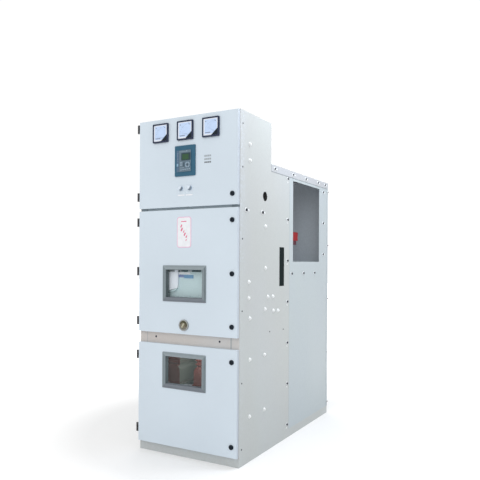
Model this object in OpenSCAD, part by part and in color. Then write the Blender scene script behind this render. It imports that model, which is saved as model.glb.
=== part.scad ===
// Metal-clad switchgear cabinet with a withdrawable circuit breaker.
// Millimetres. The origin is on the floor under the middle of the body. The doors face -Y,
// the rear covers face +Y, and Z points up.
// Four storeys of sheet metal: an instrument box at the top front, the breaker compartment
// below it, the busbar compartment behind, and the cable compartment at the bottom.

/* [Storeys at the front] */
// Height of the foundation frame
base_h = 60; // [40:1:100]
// Height of the lowest door, over the cable compartment
cable_door_h = 691; // [640:1:760]
// Height of the bare strip that shows between the lowest door and the breaker door
strip_h = 76; // [60:1:110]
// Height of the door over the breaker compartment
breaker_door_h = 836; // [800:1:900]
// Gap that shows between the breaker door and the instrument door
door_rail_gap = 18; // [10:1:30]
// Height of the door over the instrument box
instrument_door_h = 607; // [580:1:680]
// Gap round the outer edges of the doors, above the base and below the roof
edge_gap = 6; // [4:1:12]

/* [Body] */
// Width over the side sheets
body_w = 800; // [780:1:900]
// Depth from the door faces to the rear covers
body_d = 1600; // [1580:1:1700]
// How far the roof of the lower body lies below the roof of the instrument box
roof_step = 286; // [260:1:340]
// Depth of the instrument box from the door faces
instrument_d = 475; // [440:1:520]
// Distance from the door faces to the partition behind the breaker
partition_d = 770; // [755:1:800]
// Depth of the space between the busbar compartment and the rear covers
rear_space = 129; // [110:1:160]
// Distance of the seam between the front and the rear side sheets behind the partition
seam_behind = 20; // [5:1:60]
// Thickness of the body sheets
sheet = 2; // [1.5:0.5:3]
// Depth of the flanges folded on the body sheets
flange = 30; // [20:1:35]
// Height of the roof skirt that laps over the side sheets
skirt_h = 50; // [30:1:60]
// Width of the edges of the rear covers that lap over the side sheets
cover_lip = 20; // [16:1:30]

/* [Front posts] */
// Width of a post seen from the front
post_face_w = 61; // [50:1:80]
// Depth of a post seen from the side
post_side_w = 43; // [35:1:60]

/* [Doors] */
// Depth of a folded door
door_t = 25; // [20:1:30]
// Thickness of the door sheet
door_sheet = 2; // [1.5:0.5:3]
// Outside radius of the door folds
door_bend = 4; // [3.5:0.5:5]
// Width of the lips folded inwards behind a door
door_lip = 18; // [12:1:25]
// Gap between a closed door and the posts behind it
door_seat_gap = 1; // [1:0.5:3]
// Distance of the door edges from the sides of the body
door_side_gap = 2; // [1:0.5:5]
// Centre line of the windows, measured from the middle of the body
fittings_x = -12; // [-30:1:30]
// Centre line of the instruments, measured from the middle of the body
instruments_x = -6; // [-30:1:30]

/* [Viewing windows] */
// Width of a window frame
window_w = 350; // [300:1:400]
// Height of a window frame
window_h = 245; // [200:1:280]
// Width of the frame round the pane
window_border = 31; // [25:1:40]
// How far the frame stands in front of the door
window_proud = 7; // [5:1:12]
// Thickness of the pane
pane_t = 5; // [4:1:6]
// Height of the window above the lower edge of the breaker door
breaker_window_rise = 216; // [150:1:260]
// Height of the window above the lower edge of the lowest door
cable_window_rise = 393; // [340:1:400]

/* [Hinges and locks] */
// Height of a hinge
hinge_h = 60; // [45:1:80]
// Radius of a hinge knuckle
knuckle_r = 8; // [7:0.5:8.5]
// Radius of a hinge pin
pin_r = 3; // [2.5:0.5:4]
// Radial running clearance of a pin in its knuckle
pin_gap = 0.06; // [0.03:0.01:0.1]
// Distance of the hinge axis from the side sheet
hinge_out = 12; // [11:0.5:15]
// Distance of the hinge axis behind the door faces
hinge_back = 9; // [8.5:0.5:12]
// Radius of a lock head
lock_r = 16; // [12:0.5:20]
// How far a lock stands in front of the door
lock_proud = 8; // [7:1:22]
// Distance of the locks from the free edge of a door
lock_inset = 39; // [38:1:60]

/* [Instruments] */
// Side of a square meter
meter_side = 128; // [96:1:144]
// Distance between the centres of two meters
meter_pitch = 203; // [180:1:220]
// Height of the middle of the meters above the lower edge of their door
meter_rise = 512; // [490:1:520]
// Width of the protection relay
relay_w = 164; // [150:1:200]
// Height of the protection relay
relay_h = 205; // [185:1:220]
// Height of the middle of the relay above the lower edge of its door
relay_rise = 308; // [290:1:320]
// Distance between the two push buttons
button_pitch = 72; // [50:1:90]
// Radius of a push button
button_r = 17; // [10:0.5:18]

/* [Openings in the side sheets] */
// Distance of the busbar opening behind the seam
opening_ahead = 66; // [50:1:100]
// Distance of the busbar opening in front of the rear wall of its compartment
opening_behind = 71; // [60:1:120]
// Distance of the busbar opening above the busbar floor
opening_sill = 76; // [60:1:120]
// Distance of the busbar opening below the roof
opening_head = 72; // [65:1:100]
// Width of the wiring slot
slot_w = 83; // [60:1:95]
// Height of the wiring slot
slot_h = 285; // [200:1:320]
// Height of the wiring slot above the breaker floor
slot_rise = 304; // [260:1:340]
// Distance of the wiring slot in front of the partition
slot_ahead = 71; // [60:1:90]
// Radius of the round wiring hole
hole_r = 33; // [25:0.5:40]
// Distance of the round hole from the floor and the rear wall of the instrument box
hole_inset = 94; // [80:1:110]

/* [Breaker and contacts] */
// Distance of the outer phases from the sides of the body
phase_edge = 125; // [120:1:130]
// Distance between the lower and the upper contacts
contact_pitch = 310; // [290:1:330]
// Height of the lower contacts above the breaker floor
lower_contact_rise = 300; // [280:1:310]
// Outside radius of a contact box
box_r = 75; // [70:1:80]
// Wall of a contact box
box_wall = 11; // [8:1:13]
// Depth of a contact box behind the partition
box_depth = 180; // [170:1:200]
// Radius of a fixed contact
fixed_contact_r = 17.5; // [15:0.5:19]
// Travel of the breaker truck from the test place to the service place
truck_travel = 200; // [180:1:205]
// Distance of the truck panel behind the door faces in the test place
truck_panel_d = 52; // [50:1:70]
// Gap on each side between the truck panel and the posts
truck_side_gap = 19; // [9:1:39]
// Height of the truck panel
truck_h = 600; // [560:1:640]
// Radius of a truck wheel
wheel_r = 25; // [20:1:30]
// Radius of a breaker pole
pole_r = 56; // [50:1:58]

/* [Transformers and bars] */
// Width of a cast transformer
transformer_w = 170; // [148:1:180]
// Length of a cast transformer
transformer_l = 300; // [260:1:340]
// Height of a cast transformer
transformer_h = 207; // [200:1:250]
// Distance of the transformers behind the door faces
transformer_d = 208; // [90:1:230]
// Height of the tops of the transformers above the base
transformer_top_rise = 577; // [560:1:620]
// Thickness of the flat phase bars
bar_t = 10; // [8:1:12]
// Height of the flat phase bars
bar_h = 60; // [50:1:60]
// Length of the insulating hood over the free end of an upper phase bar
hood_l = 140; // [100:1:160]

/* [Foundation bolts] */
// Distance of the foundation bolts from the sides of the body
bolt_side_inset = 35; // [25:1:42]
// Distance of the foundation bolts from the door faces and from the rear covers
bolt_end_inset = 100; // [90:1:150]
// Radius of a foundation bolt hole
bolt_hole_r = 7; // [5:0.5:9]

/* [Hidden] */
$fn = 48;

door_paint = [0.82, 0.87, 0.91];
zinc = [0.78, 0.81, 0.82];
strip_paint = [0.78, 0.75, 0.73];
dark_seal = [0.47, 0.51, 0.54];
black = [0.1, 0.12, 0.14];
frame_grey = [0.49, 0.53, 0.54];
pane_colour = [0.8, 0.9, 0.92, 0.35];
relay_blue = [0.24, 0.41, 0.51];
epoxy = [0.36, 0.18, 0.15];
copper = [0.72, 0.45, 0.3];
brass = [0.68, 0.62, 0.5];

// Heights, from the floor up
cable_door_z = base_h + edge_gap;
cable_door_top = cable_door_z + cable_door_h;
breaker_door_z = cable_door_top + strip_h;
breaker_door_top = breaker_door_z + breaker_door_h;
instrument_door_z = breaker_door_top + door_rail_gap;
instrument_door_top = instrument_door_z + instrument_door_h;
body_h = instrument_door_top + edge_gap;
rear_h = body_h - roof_step;
floor_lift = 5;
breaker_floor_z = breaker_door_z + floor_lift;
instrument_floor_z = breaker_door_top + door_rail_gap / 2 + sheet;
lower_contact_z = breaker_floor_z + sheet + lower_contact_rise;
upper_contact_z = lower_contact_z + contact_pitch;
busbar_floor_gap = 33;
busbar_floor_z = lower_contact_z + box_r + busbar_floor_gap;

// Widths and depths
half_w = body_w / 2;
inner_half_w = half_w - sheet;
function y_at(depth) = depth - body_d / 2;
post_front_d = door_t + door_seat_gap;
post_back_d = post_front_d + post_side_w;
rear_cover_d = body_d - sheet;
busbar_back_d = body_d - rear_space;
seam_d = partition_d + seam_behind;
phase_pitch = half_w - phase_edge;
truck_w = body_w - 2 * (post_face_w + truck_side_gap);
door_w = body_w - 2 * door_side_gap;
hinge_x = -half_w - hinge_out;
lock_x = half_w - door_side_gap - lock_inset;
phases = [-1, 0, 1];

// Rectangle about the origin with round corners, made of squares and whole circles
module round_rect(w, h, r) {
    square([w - 2 * r, h], center = true);
    square([w, h - 2 * r], center = true);
    for (sx = [-1, 1], sy = [-1, 1])
        translate([sx * (w / 2 - r), sy * (h / 2 - r)]) circle(r);
}

// Strip of sheet seen on edge: w wide with its two front corners rounded, d deep
module bent_front(w, d, r) {
    translate([-w / 2, r]) square([w, d - r]);
    translate([-w / 2 + r, 0]) square([w - 2 * r, d]);
    for (sx = [-1, 1])
        translate([sx * (w / 2 - r), r]) circle(r);
}

// Section of a folded pan: a skin in front, two flanges behind it and a lip on each flange
module pan_section(w, d, lip, t, r) {
    difference() {
        bent_front(w, d, r);
        translate([0, t]) bent_front(w - 2 * t, d, r - t);
    }
    for (sx = [-1, 1])
        translate([sx * (w / 2 - lip / 2), d - t / 2]) square([lip, t], center = true);
}

// Folded pan that stands on z = 0 with its skin on y = 0, closed at the top and the bottom
module standing_pan(w, h, d, lip, t, r) {
    linear_extrude(h) pan_section(w, d, lip, t, r);
    for (z = [0, h - t])
        translate([-w / 2 + t, t / 2, z]) cube([w - 2 * t, d - t / 2, t]);
    for (z = [0, h - lip])
        translate([-w / 2 + t, d - t, z]) cube([w - 2 * t, t, lip]);
}

// Plate of thickness t whose outline is drawn in depth and height, outer face at x
module side_plate(x_outer, t) {
    translate([x_outer > 0 ? x_outer - t : x_outer, 0, 0])
        rotate([90, 0, 90]) linear_extrude(t) children();
}

// Plate of thickness t whose outline is drawn in width and height, front face at depth d
module front_plate(depth, t) {
    translate([0, y_at(depth) + t, 0]) rotate([90, 0, 0]) linear_extrude(t) children();
}

// Rectangle from its lower corner to its upper corner
module span(a, b) {
    translate(a) square(b - a);
}

// Box from its lower corner to its upper corner
module block(a, b) {
    translate(a) cube(b - a);
}

// Cylinder that lies along the depth of the cabinet, from one depth to another
module lying_cylinder(r, from, to) {
    translate([0, y_at(from), 0]) rotate([-90, 0, 0]) cylinder(r = r, h = to - from);
}

// Foundation frame

// Wall and flanges of the folded base rails
rail_t = 3;
rail_flange = 50;
middle_rail_w = 80;
middle_rail_d = partition_d;

module rail_section() {
    square([rail_t, base_h]);
    for (z = [0, base_h - rail_t])
        translate([0, z]) square([rail_flange, rail_t]);
}

module base_frame() color(door_paint) {
    front = y_at(post_front_d);
    rear = y_at(rear_cover_d);
    difference() {
        union() {
            for (side = [0, 1])
                mirror([side, 0, 0]) translate([-half_w, front, 0])
                    rotate([90, 0, 180]) mirror([1, 0, 0]) linear_extrude(rear - front) rail_section();
            for (end = [0, 1])
                translate([0, end ? rear : front, 0]) mirror([0, end, 0])
                    translate([-half_w, 0, 0])
                        rotate([90, 0, 90]) linear_extrude(body_w) rail_section();
            difference() {
                translate([-half_w, y_at(middle_rail_d) - middle_rail_w / 2, 0])
                    cube([body_w, middle_rail_w, base_h]);
                translate([-half_w - 1, y_at(middle_rail_d) - middle_rail_w / 2 + rail_t, rail_t])
                    cube([body_w + 2, middle_rail_w - 2 * rail_t, base_h - 2 * rail_t]);
            }
        }
        for (sx = [-1, 1], sy = [-1, 1])
            translate([sx * (half_w - bolt_side_inset), sy * (body_d / 2 - bolt_end_inset), -1])
                cylinder(r = bolt_hole_r, h = rail_t + 2);
    }
}

// Front posts: a folded channel, open towards the inside of the cabinet

module post() {
    translate([0, y_at(post_front_d), base_h]) linear_extrude(body_h - sheet - base_h)
        difference() {
            translate([half_w - post_face_w, 0]) square([post_face_w, post_side_w]);
            translate([half_w - post_face_w - 1, sheet])
                square([post_face_w + 1 - sheet, post_side_w - 2 * sheet]);
        }
}

module right_post() color(door_paint) post();

module left_post() color(door_paint) mirror([1, 0, 0]) post();

// Front side sheets, which rise to the top of the instrument box and step down behind it

slot_back_d = partition_d - slot_ahead;
slot_z = breaker_floor_z + sheet + slot_rise;
hole_d = instrument_d - hole_inset;
hole_z = instrument_floor_z + hole_inset;

module side_wall() {
    side_plate(half_w, sheet) difference() {
        union() {
            span([y_at(post_back_d), base_h], [y_at(seam_d), rear_h - sheet]);
            span([y_at(post_back_d), base_h], [y_at(instrument_d), body_h - sheet]);
        }
        span([y_at(slot_back_d - slot_w), slot_z], [y_at(slot_back_d), slot_z + slot_h]);
        translate([y_at(hole_d), hole_z]) circle(hole_r);
    }
}

module right_side_wall() color(zinc) side_wall();

module left_side_wall() color(zinc) mirror([1, 0, 0]) side_wall();

// Rear side sheets, with the opening through which the busbars pass to the next cabinet

opening_d = [seam_d + opening_ahead, busbar_back_d - opening_behind];
opening_z = [busbar_floor_z + opening_sill, rear_h - opening_head];

module rear_wall() {
    side_plate(half_w, sheet) difference() {
        span([y_at(seam_d), base_h], [y_at(rear_cover_d), rear_h - sheet]);
        span([y_at(opening_d[0]), opening_z[0]], [y_at(opening_d[1]), opening_z[1]]);
    }
    block([half_w - flange, y_at(rear_cover_d) - sheet, base_h],
          [half_w - sheet, y_at(rear_cover_d), rear_h - sheet]);
}

module right_rear_wall() color(zinc) rear_wall();

module left_rear_wall() color(zinc) mirror([1, 0, 0]) rear_wall();

// Instrument box: its floor and its rear wall are one folded sheet, with a flange down each side

module instrument_box() color(zinc) {
    block([-inner_half_w, y_at(post_back_d), instrument_floor_z - sheet],
          [inner_half_w, y_at(instrument_d), instrument_floor_z]);
    block([-inner_half_w, y_at(instrument_d) - sheet, instrument_floor_z - sheet],
          [inner_half_w, y_at(instrument_d), body_h - sheet]);
    side_flanges(y_at(post_back_d), y_at(instrument_d), instrument_floor_z - flange, instrument_floor_z);
    side_flanges(y_at(instrument_d - flange), y_at(instrument_d), rear_h, body_h - sheet);
}

module instrument_roof() color(door_paint) {
    block([-half_w, y_at(post_front_d), body_h - sheet], [half_w, y_at(instrument_d), body_h]);
    block([-half_w + post_face_w, y_at(post_front_d), body_h - sheet - flange],
          [half_w - post_face_w, y_at(post_front_d) + sheet, body_h - sheet]);
}

// Roof of the lower body: a folded cap with three relief openings

flap_overlap = 15;
flap_h = 14;
relief_side = 60;
relief_edge = 35;
relief_rib = 25;
relief_half_w = half_w - relief_side;
relief_spans = [
    [instrument_d + relief_edge, partition_d - relief_rib],
    [partition_d + relief_edge, busbar_back_d - relief_rib],
    [busbar_back_d + relief_rib, body_d - relief_edge]
];

module rear_roof() color(zinc) {
    difference() {
        block([-half_w, y_at(instrument_d), rear_h - sheet], [half_w, y_at(body_d), rear_h]);
        for (s = relief_spans)
            block([-relief_half_w, y_at(s[0]), rear_h - sheet - 1],
                  [relief_half_w, y_at(s[1]), rear_h + 1]);
    }
    for (sx = [-1, 1])
        block([sx > 0 ? half_w : -half_w - sheet, y_at(instrument_d), rear_h - skirt_h],
              [sx > 0 ? half_w + sheet : -half_w, y_at(body_d) + sheet, rear_h]);
    block([-half_w, y_at(body_d), rear_h - skirt_h], [half_w, y_at(body_d) + sheet, rear_h]);
}

module relief_flaps() color(zinc)
    for (s = relief_spans)
        difference() {
            block([-relief_half_w - flap_overlap, y_at(s[0] - flap_overlap), rear_h],
                  [relief_half_w + flap_overlap, y_at(s[1] + flap_overlap), rear_h + flap_h]);
            block([-relief_half_w - flap_overlap + sheet, y_at(s[0] - flap_overlap) + sheet, rear_h - 1],
                  [relief_half_w + flap_overlap - sheet, y_at(s[1] + flap_overlap) - sheet,
                   rear_h + flap_h - sheet]);
        }

// Rear covers, an upper and a lower one, whose folded edges lap over the side sheets

cover_joint_z = busbar_floor_z - flange;
cover_joint_gap = 2;
cover_rib_w = 40;
cover_rib_h = 8;

module rear_cover(z0, z1, lip_z1) {
    block([-half_w, y_at(rear_cover_d), z0], [half_w, y_at(body_d), z1]);
    for (side = [0, 1])
        mirror([side, 0, 0])
            block([half_w, y_at(body_d - cover_lip), z0], [half_w + sheet, y_at(body_d), lip_z1]);
}

module rear_covers() color(zinc) {
    rear_cover(base_h, cover_joint_z - cover_joint_gap / 2, cover_joint_z - cover_joint_gap / 2);
    rear_cover(cover_joint_z + cover_joint_gap / 2, rear_h - sheet, rear_h - skirt_h - cover_joint_gap);
}

// Rail behind the gap between the two upper doors, and the bare strip above the lowest door

rail_lap = 15;

module front_channel(z0, z1) {
    face = half_w - post_face_w;
    block([-face, y_at(post_front_d), z0], [face, y_at(post_front_d) + sheet, z1]);
    for (z = [z0, z1 - sheet])
        block([-face, y_at(post_front_d), z], [face, y_at(post_back_d) - sheet, z + sheet]);
}

module door_rail() color(dark_seal)
    front_channel(breaker_door_top - rail_lap, instrument_door_z + rail_lap);

module cross_strip() color(strip_paint)
    front_channel(cable_door_top - rail_lap, breaker_floor_z);

// Floor of the breaker compartment, with the two rails of the truck

track_inset = 20;
track_half = truck_w / 2 - track_inset;
track_w = 30;
track_h = 8;
track_end_gap = 5;

module breaker_floor() color(zinc) {
    block([-inner_half_w, y_at(post_back_d), breaker_floor_z],
          [inner_half_w, y_at(partition_d), breaker_floor_z + sheet]);
    block([-half_w + post_face_w, y_at(post_front_d), breaker_floor_z],
          [half_w - post_face_w, y_at(post_back_d), breaker_floor_z + sheet]);
    for (sx = [-1, 1])
        translate([sx * track_half - track_w / 2, y_at(post_back_d), breaker_floor_z + sheet])
            cube([track_w, partition_d - post_back_d - flange - track_end_gap, track_h]);
}

// Partition behind the breaker, with a round hole for each contact box

box_hole_gap = 1;

module at_contacts() {
    for (p = phases, z = [lower_contact_z, upper_contact_z])
        translate([p * phase_pitch, 0, z]) children();
}

module breaker_partition() color(zinc) {
    difference() {
        front_plate(partition_d, sheet)
            span([-inner_half_w, breaker_floor_z], [inner_half_w, rear_h - sheet]);
        at_contacts() lying_cylinder(box_r + box_hole_gap, partition_d - 1, partition_d + sheet + 1);
    }
    side_flanges(y_at(partition_d - flange), y_at(partition_d), breaker_floor_z + sheet, rear_h - sheet);
}

// Upright flange along the inner face of each side sheet, from one depth and height to another
module side_flanges(d0, d1, z0, z1)
    for (side = [0, 1])
        mirror([side, 0, 0]) block([inner_half_w - sheet, d0, z0], [inner_half_w, d1, z1]);

module busbar_floor() color(zinc) {
    block([-inner_half_w, y_at(partition_d) + sheet, busbar_floor_z - sheet],
          [inner_half_w, y_at(busbar_back_d), busbar_floor_z]);
    side_flanges(y_at(partition_d) + sheet, y_at(busbar_back_d), busbar_floor_z - flange, busbar_floor_z);
}

module busbar_back() color(zinc) {
    front_plate(busbar_back_d, sheet)
        span([-inner_half_w, busbar_floor_z - flange], [inner_half_w, rear_h - sheet]);
    side_flanges(y_at(busbar_back_d), y_at(busbar_back_d + flange), busbar_floor_z - flange, rear_h - sheet);
}

// Contact boxes: a round spout with a flange on the front of the partition and a closed back

box_flange_out = 22;
box_flange_r = box_r + box_flange_out;
box_flange_t = 8;
box_mouth = 12;
box_back_t = 10;
contact_fit = 0.3;

module contact_box() rotate([-90, 0, 0]) rotate_extrude() {
    bore_r = fixed_contact_r + contact_fit;
    front_y = y_at(partition_d);
    translate([bore_r, front_y + box_depth - box_back_t]) square([box_r - bore_r, box_back_t]);
    translate([box_r - box_wall, front_y - box_mouth - box_flange_t])
        square([box_wall, box_depth + box_mouth + box_flange_t]);
    translate([box_r - box_wall, front_y - box_flange_t])
        square([box_flange_r - box_r + box_wall, box_flange_t]);
}

module contact_boxes() color(epoxy) at_contacts() contact_box();

// Phase bars: a round fixed contact in each box, and a flat bar on the back of the box

box_back_d = partition_d + box_depth;
arm_tip_gap = 70;
arm_tip_d = partition_d - arm_tip_gap;
cup_depth = 75;
cup_end_gap = 10;
contact_tip_d = arm_tip_d - cup_depth + truck_travel + cup_end_gap;
riser_w = 60;
bar_run = 240;
bar_rise = 13;
tab_rise = 113;
bar_end_d = box_back_d + bar_run;
bar_z = upper_contact_z + bar_rise;
tab_top_z = upper_contact_z + tab_rise;

module fixed_contact(z)
    translate([0, 0, z]) lying_cylinder(fixed_contact_r, contact_tip_d, box_back_d);

// Upper bar: back from the box towards the busbars, with its end turned up as a tab
module upper_bar() {
    fixed_contact(upper_contact_z);
    translate([-bar_t / 2, 0, 0]) rotate([90, 0, 90]) linear_extrude(bar_t) {
        span([y_at(box_back_d), upper_contact_z - bar_h / 2], [y_at(box_back_d) + riser_w, bar_z + bar_h]);
        span([y_at(box_back_d), bar_z], [y_at(bar_end_d), bar_z + bar_h]);
        span([y_at(bar_end_d) - riser_w, bar_z], [y_at(bar_end_d), tab_top_z]);
    }
}

// Lower bar: straight down into the cable compartment
lower_bar_drop = 330;
module lower_bar() {
    fixed_contact(lower_contact_z);
    block([-bar_h / 2, y_at(box_back_d), lower_contact_z - lower_bar_drop],
          [bar_h / 2, y_at(box_back_d) + bar_t, lower_contact_z + bar_h / 2]);
}

module phase_bars() color(copper)
    for (p = phases)
        translate([p * phase_pitch, 0, 0]) {
            upper_bar();
            lower_bar();
        }

// Insulating hoods that sit on the tabs of the upper bars, open below

hood_t = 3;
hood_over = 26;
hood_h = 69;

module hood(phase) {
    hood_d = [bar_end_d + hood_over - hood_l, bar_end_d + hood_over];
    hood_z = [tab_top_z + hood_t - hood_h, tab_top_z + hood_t];
    translate([phase * phase_pitch, 0, 0]) difference() {
        block([-bar_t / 2 - hood_t, y_at(hood_d[0]), hood_z[0]],
              [bar_t / 2 + hood_t, y_at(hood_d[1]), hood_z[1]]);
        block([-bar_t / 2, y_at(hood_d[0]) + hood_t, hood_z[0] - 1],
              [bar_t / 2, y_at(hood_d[1]) - hood_t, hood_z[1] - hood_t]);
        block([-bar_t / 2, y_at(hood_d[0]) - 1, hood_z[0] - 1],
              [bar_t / 2, y_at(hood_d[1]) - hood_t, bar_z + bar_h]);
    }
}

module yellow_sleeve() color("gold") hood(-1);

module green_sleeve() color("seagreen") hood(0);

module red_sleeve() color("firebrick") hood(1);

// Cast transformers on two rails across the cable compartment

transformer_top = base_h + transformer_top_rise;
transformer_z = transformer_top - transformer_h;
cross_rail_w = 40;
cross_rail_inset = 30;
foot_h = 18;
foot_out = 8;
body_r = 45;
tower_w = 126;
tower_h = 60;
tower_r = 35;
tower_inset = 30;
shed_t = 8;
shed_out = 8;

module transformer_rails() color(zinc)
    for (d = [transformer_d + cross_rail_inset,
              transformer_d + transformer_l - cross_rail_inset - cross_rail_w])
        difference() {
            block([-inner_half_w, y_at(d), transformer_z - cross_rail_w],
                  [inner_half_w, y_at(d + cross_rail_w), transformer_z]);
            block([-inner_half_w - 1, y_at(d) + rail_t, transformer_z - cross_rail_w - 1],
                  [inner_half_w + 1, y_at(d + cross_rail_w) - rail_t, transformer_z - rail_t]);
        }

// Profile drawn in width and height, run along the depth of a transformer and set in at its ends
module cast_along(inset)
    translate([0, y_at(transformer_d + transformer_l - inset), transformer_z])
        rotate([90, 0, 0]) linear_extrude(transformer_l - 2 * inset) children();

// Cast transformer: a foot plate, a trunk with round shoulders and a ribbed tower on top
module transformer() {
    trunk_h = transformer_h - tower_h;
    body_w0 = transformer_w - 2 * foot_out;
    cast_along(0) translate([0, foot_h / 2]) square([transformer_w, foot_h], center = true);
    cast_along(foot_out) {
        translate([0, trunk_h / 2]) round_rect(body_w0, trunk_h, body_r);
        translate([0, trunk_h / 4]) square([body_w0, trunk_h / 2], center = true);
    }
    cast_along(tower_inset) translate([0, trunk_h]) round_rect(tower_w, 2 * tower_h, tower_r);
    for (i = [0, 1])
        translate([0, 0, tower_h * (i + 0.4) / 2])
            cast_along(tower_inset - shed_out) translate([0, trunk_h])
                square([tower_w + 2 * shed_out, shed_t], center = true);
}

module instrument_transformers() color(epoxy)
    for (p = phases)
        translate([p * phase_pitch, 0, 0]) transformer();

// Hinges: the middle knuckle and the pin stay on the post, two knuckles turn with the door

hinge_leaf_t = 4;
hinge_plate_t = 6;
hinge_plate_d = 4;
hinge_web = 8;
leaf_inset = 2;
knuckle_gap = 0.5;
knuckle_h = (hinge_h - 4 * knuckle_gap) / 3;
instrument_hinge_inset = [83, 46];
breaker_hinge_inset = [73, 76];
cable_hinge_inset = [89, 89];
breaker_door_mid = breaker_door_z + breaker_door_h / 2;
instrument_hinges = [instrument_door_z + instrument_hinge_inset[0],
                     instrument_door_top - instrument_hinge_inset[1]];
breaker_hinges = [breaker_door_z + breaker_hinge_inset[0], breaker_door_mid,
                  breaker_door_top - breaker_hinge_inset[1]];
cable_hinges = [cable_door_z + cable_hinge_inset[0], cable_door_top - cable_hinge_inset[1]];
all_hinges = concat(instrument_hinges, breaker_hinges, cable_hinges);

module at_hinge(z) translate([hinge_x, y_at(hinge_back), z]) children();

module fixed_hinge() {
    half_k = knuckle_h / 2;
    leaf_y = post_front_d + hinge_plate_d - hinge_back;
    leaf_end = post_back_d - leaf_inset - hinge_back;
    translate([0, 0, -half_k]) cylinder(r = knuckle_r, h = knuckle_h);
    translate([0, 0, -hinge_h / 2]) cylinder(r = pin_r, h = hinge_h);
    block([-knuckle_r, 0, -half_k], [hinge_out - hinge_web, leaf_y + hinge_plate_d, half_k]);
    block([-knuckle_r, leaf_y, -hinge_h / 2], [hinge_out, leaf_y + hinge_plate_t, hinge_h / 2]);
    block([hinge_out - hinge_leaf_t, leaf_y, -hinge_h / 2], [hinge_out, leaf_end, hinge_h / 2]);
}

module fixed_hinges() color(black)
    for (z = all_hinges) at_hinge(z) fixed_hinge();

module door_knuckles(heights)
    for (z = heights, s = [-1, 1])
        at_hinge(z) translate([0, 0, s * (knuckle_h + knuckle_gap) - knuckle_h / 2])
            difference() {
                union() {
                    cylinder(r = knuckle_r, h = knuckle_h);
                    block([0, leaf_inset - knuckle_r, 0],
                          [hinge_out + door_side_gap, knuckle_r - leaf_inset, knuckle_h]);
                }
                translate([0, 0, -1]) cylinder(r = pin_r + pin_gap, h = knuckle_h + 2);
            }

// Doors

module door_pan(z, h)
    translate([0, y_at(0), z]) standing_pan(door_w, h, door_t, door_lip, door_sheet, door_bend);

// Cut through a door skin, drawn in width and height
module skin_cut()
    translate([0, y_at(0) + door_t - door_sheet - 1, 0])
        rotate([90, 0, 0]) linear_extrude(door_t) children();

lock_hole_r = 11;
lock_hole_gap = 0.5;

module lock_cuts(heights)
    skin_cut() for (z = heights) translate([lock_x, z]) circle(lock_hole_r + lock_hole_gap);

lock_end_inset = 70;
upper_lock_inset = 80;
middle_lock_drop = 8;
instrument_locks = [instrument_door_z + lock_end_inset];
breaker_locks = [breaker_door_z + lock_end_inset, breaker_door_mid - middle_lock_drop,
                 breaker_door_top - upper_lock_inset];
cable_locks = [cable_door_z + lock_end_inset, cable_door_top - upper_lock_inset];

// Round head in front of the door with a sunk socket, its shank through the skin and its cam
lock_socket_r = 7;
lock_socket_d = 5;
lock_edge = 2;
cam_t = 3;
cam_w = 16;
cam_l = 34;
shank_l = 14;
module lock() {
    rotate([-90, 0, 0]) rotate_extrude() {
        translate([lock_socket_r, -lock_proud])
            square([lock_r - lock_edge - lock_socket_r, lock_proud]);
        translate([lock_socket_r, -lock_proud + lock_edge])
            square([lock_r - lock_socket_r, lock_proud - lock_edge]);
        translate([0, lock_socket_d - lock_proud])
            square([lock_socket_r, lock_proud - lock_socket_d]);
        square([lock_hole_r, shank_l]);
    }
    translate([0, lock_socket_d - lock_proud, 0]) rotate([90, 0, 0])
        cylinder(r = lock_socket_r / 2, h = lock_socket_d - 1);
    block([-cam_w / 2, shank_l, -cam_w / 2], [cam_w / 2, shank_l + cam_t, cam_l - cam_w / 2]);
}

module locks(heights)
    for (z = heights) translate([lock_x, y_at(0), z]) lock();

meter_z = instrument_door_z + meter_rise;
relay_z = instrument_door_z + relay_rise;
button_rise = 125;
button_z = instrument_door_z + button_rise;
meter_places = [for (i = [-1, 0, 1]) instruments_x + i * meter_pitch];
case_gap = 1;
meter_lap = 7;
meter_case = meter_side - 2 * meter_lap;
meter_proud = 13;
meter_case_d = 62;
relay_lap = [11, 12];
relay_case_w = relay_w - 2 * relay_lap[0];
relay_case_h = relay_h - 2 * relay_lap[1];
relay_case_d = 170;

module instrument_door() color(door_paint) difference() {
    door_pan(instrument_door_z, instrument_door_h);
    skin_cut() {
        for (x = meter_places)
            translate([x, meter_z]) square(meter_case + 2 * case_gap, center = true);
        translate([instruments_x, relay_z])
            square([relay_case_w + 2 * case_gap, relay_case_h + 2 * case_gap], center = true);
        for (s = [-1, 1])
            translate([instruments_x + s * button_pitch / 2, button_z])
                circle(button_r - button_step + case_gap);
    }
    lock_cuts(instrument_locks);
}

module instrument_door_hinges() color(black) door_knuckles(instrument_hinges);

module instrument_door_lock() color(black) locks(instrument_locks);

// Meters: a square bezel with a sunk face in front of the door and a case behind it
meter_border = 9;
meter_face_sunk = 3;
bezel_r = 5;

module meters() color(black)
    for (x = meter_places)
        translate([x, y_at(0), meter_z]) {
            rotate([90, 0, 0]) difference() {
                linear_extrude(meter_proud) round_rect(meter_side, meter_side, bezel_r);
                translate([0, 0, meter_proud - meter_face_sunk]) linear_extrude(meter_proud)
                    square(meter_side - 2 * meter_border, center = true);
            }
            block([-meter_case / 2, 0, -meter_case / 2], [meter_case / 2, meter_case_d, meter_case / 2]);
        }

// Protection relay: a bezel with a raised panel, a sunk display and a round key ring
relay_proud = 8;
relay_panel_proud = 3;
relay_panel_w = 98;
relay_panel_h = 146;
relay_panel_at = [3, -2];
display_w = 68;
display_h = 52;
display_at = [-3, 26];
ring_r = 22;
ring_w = 9;
ring_proud = 6;
ring_at = [25, -29];

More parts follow.
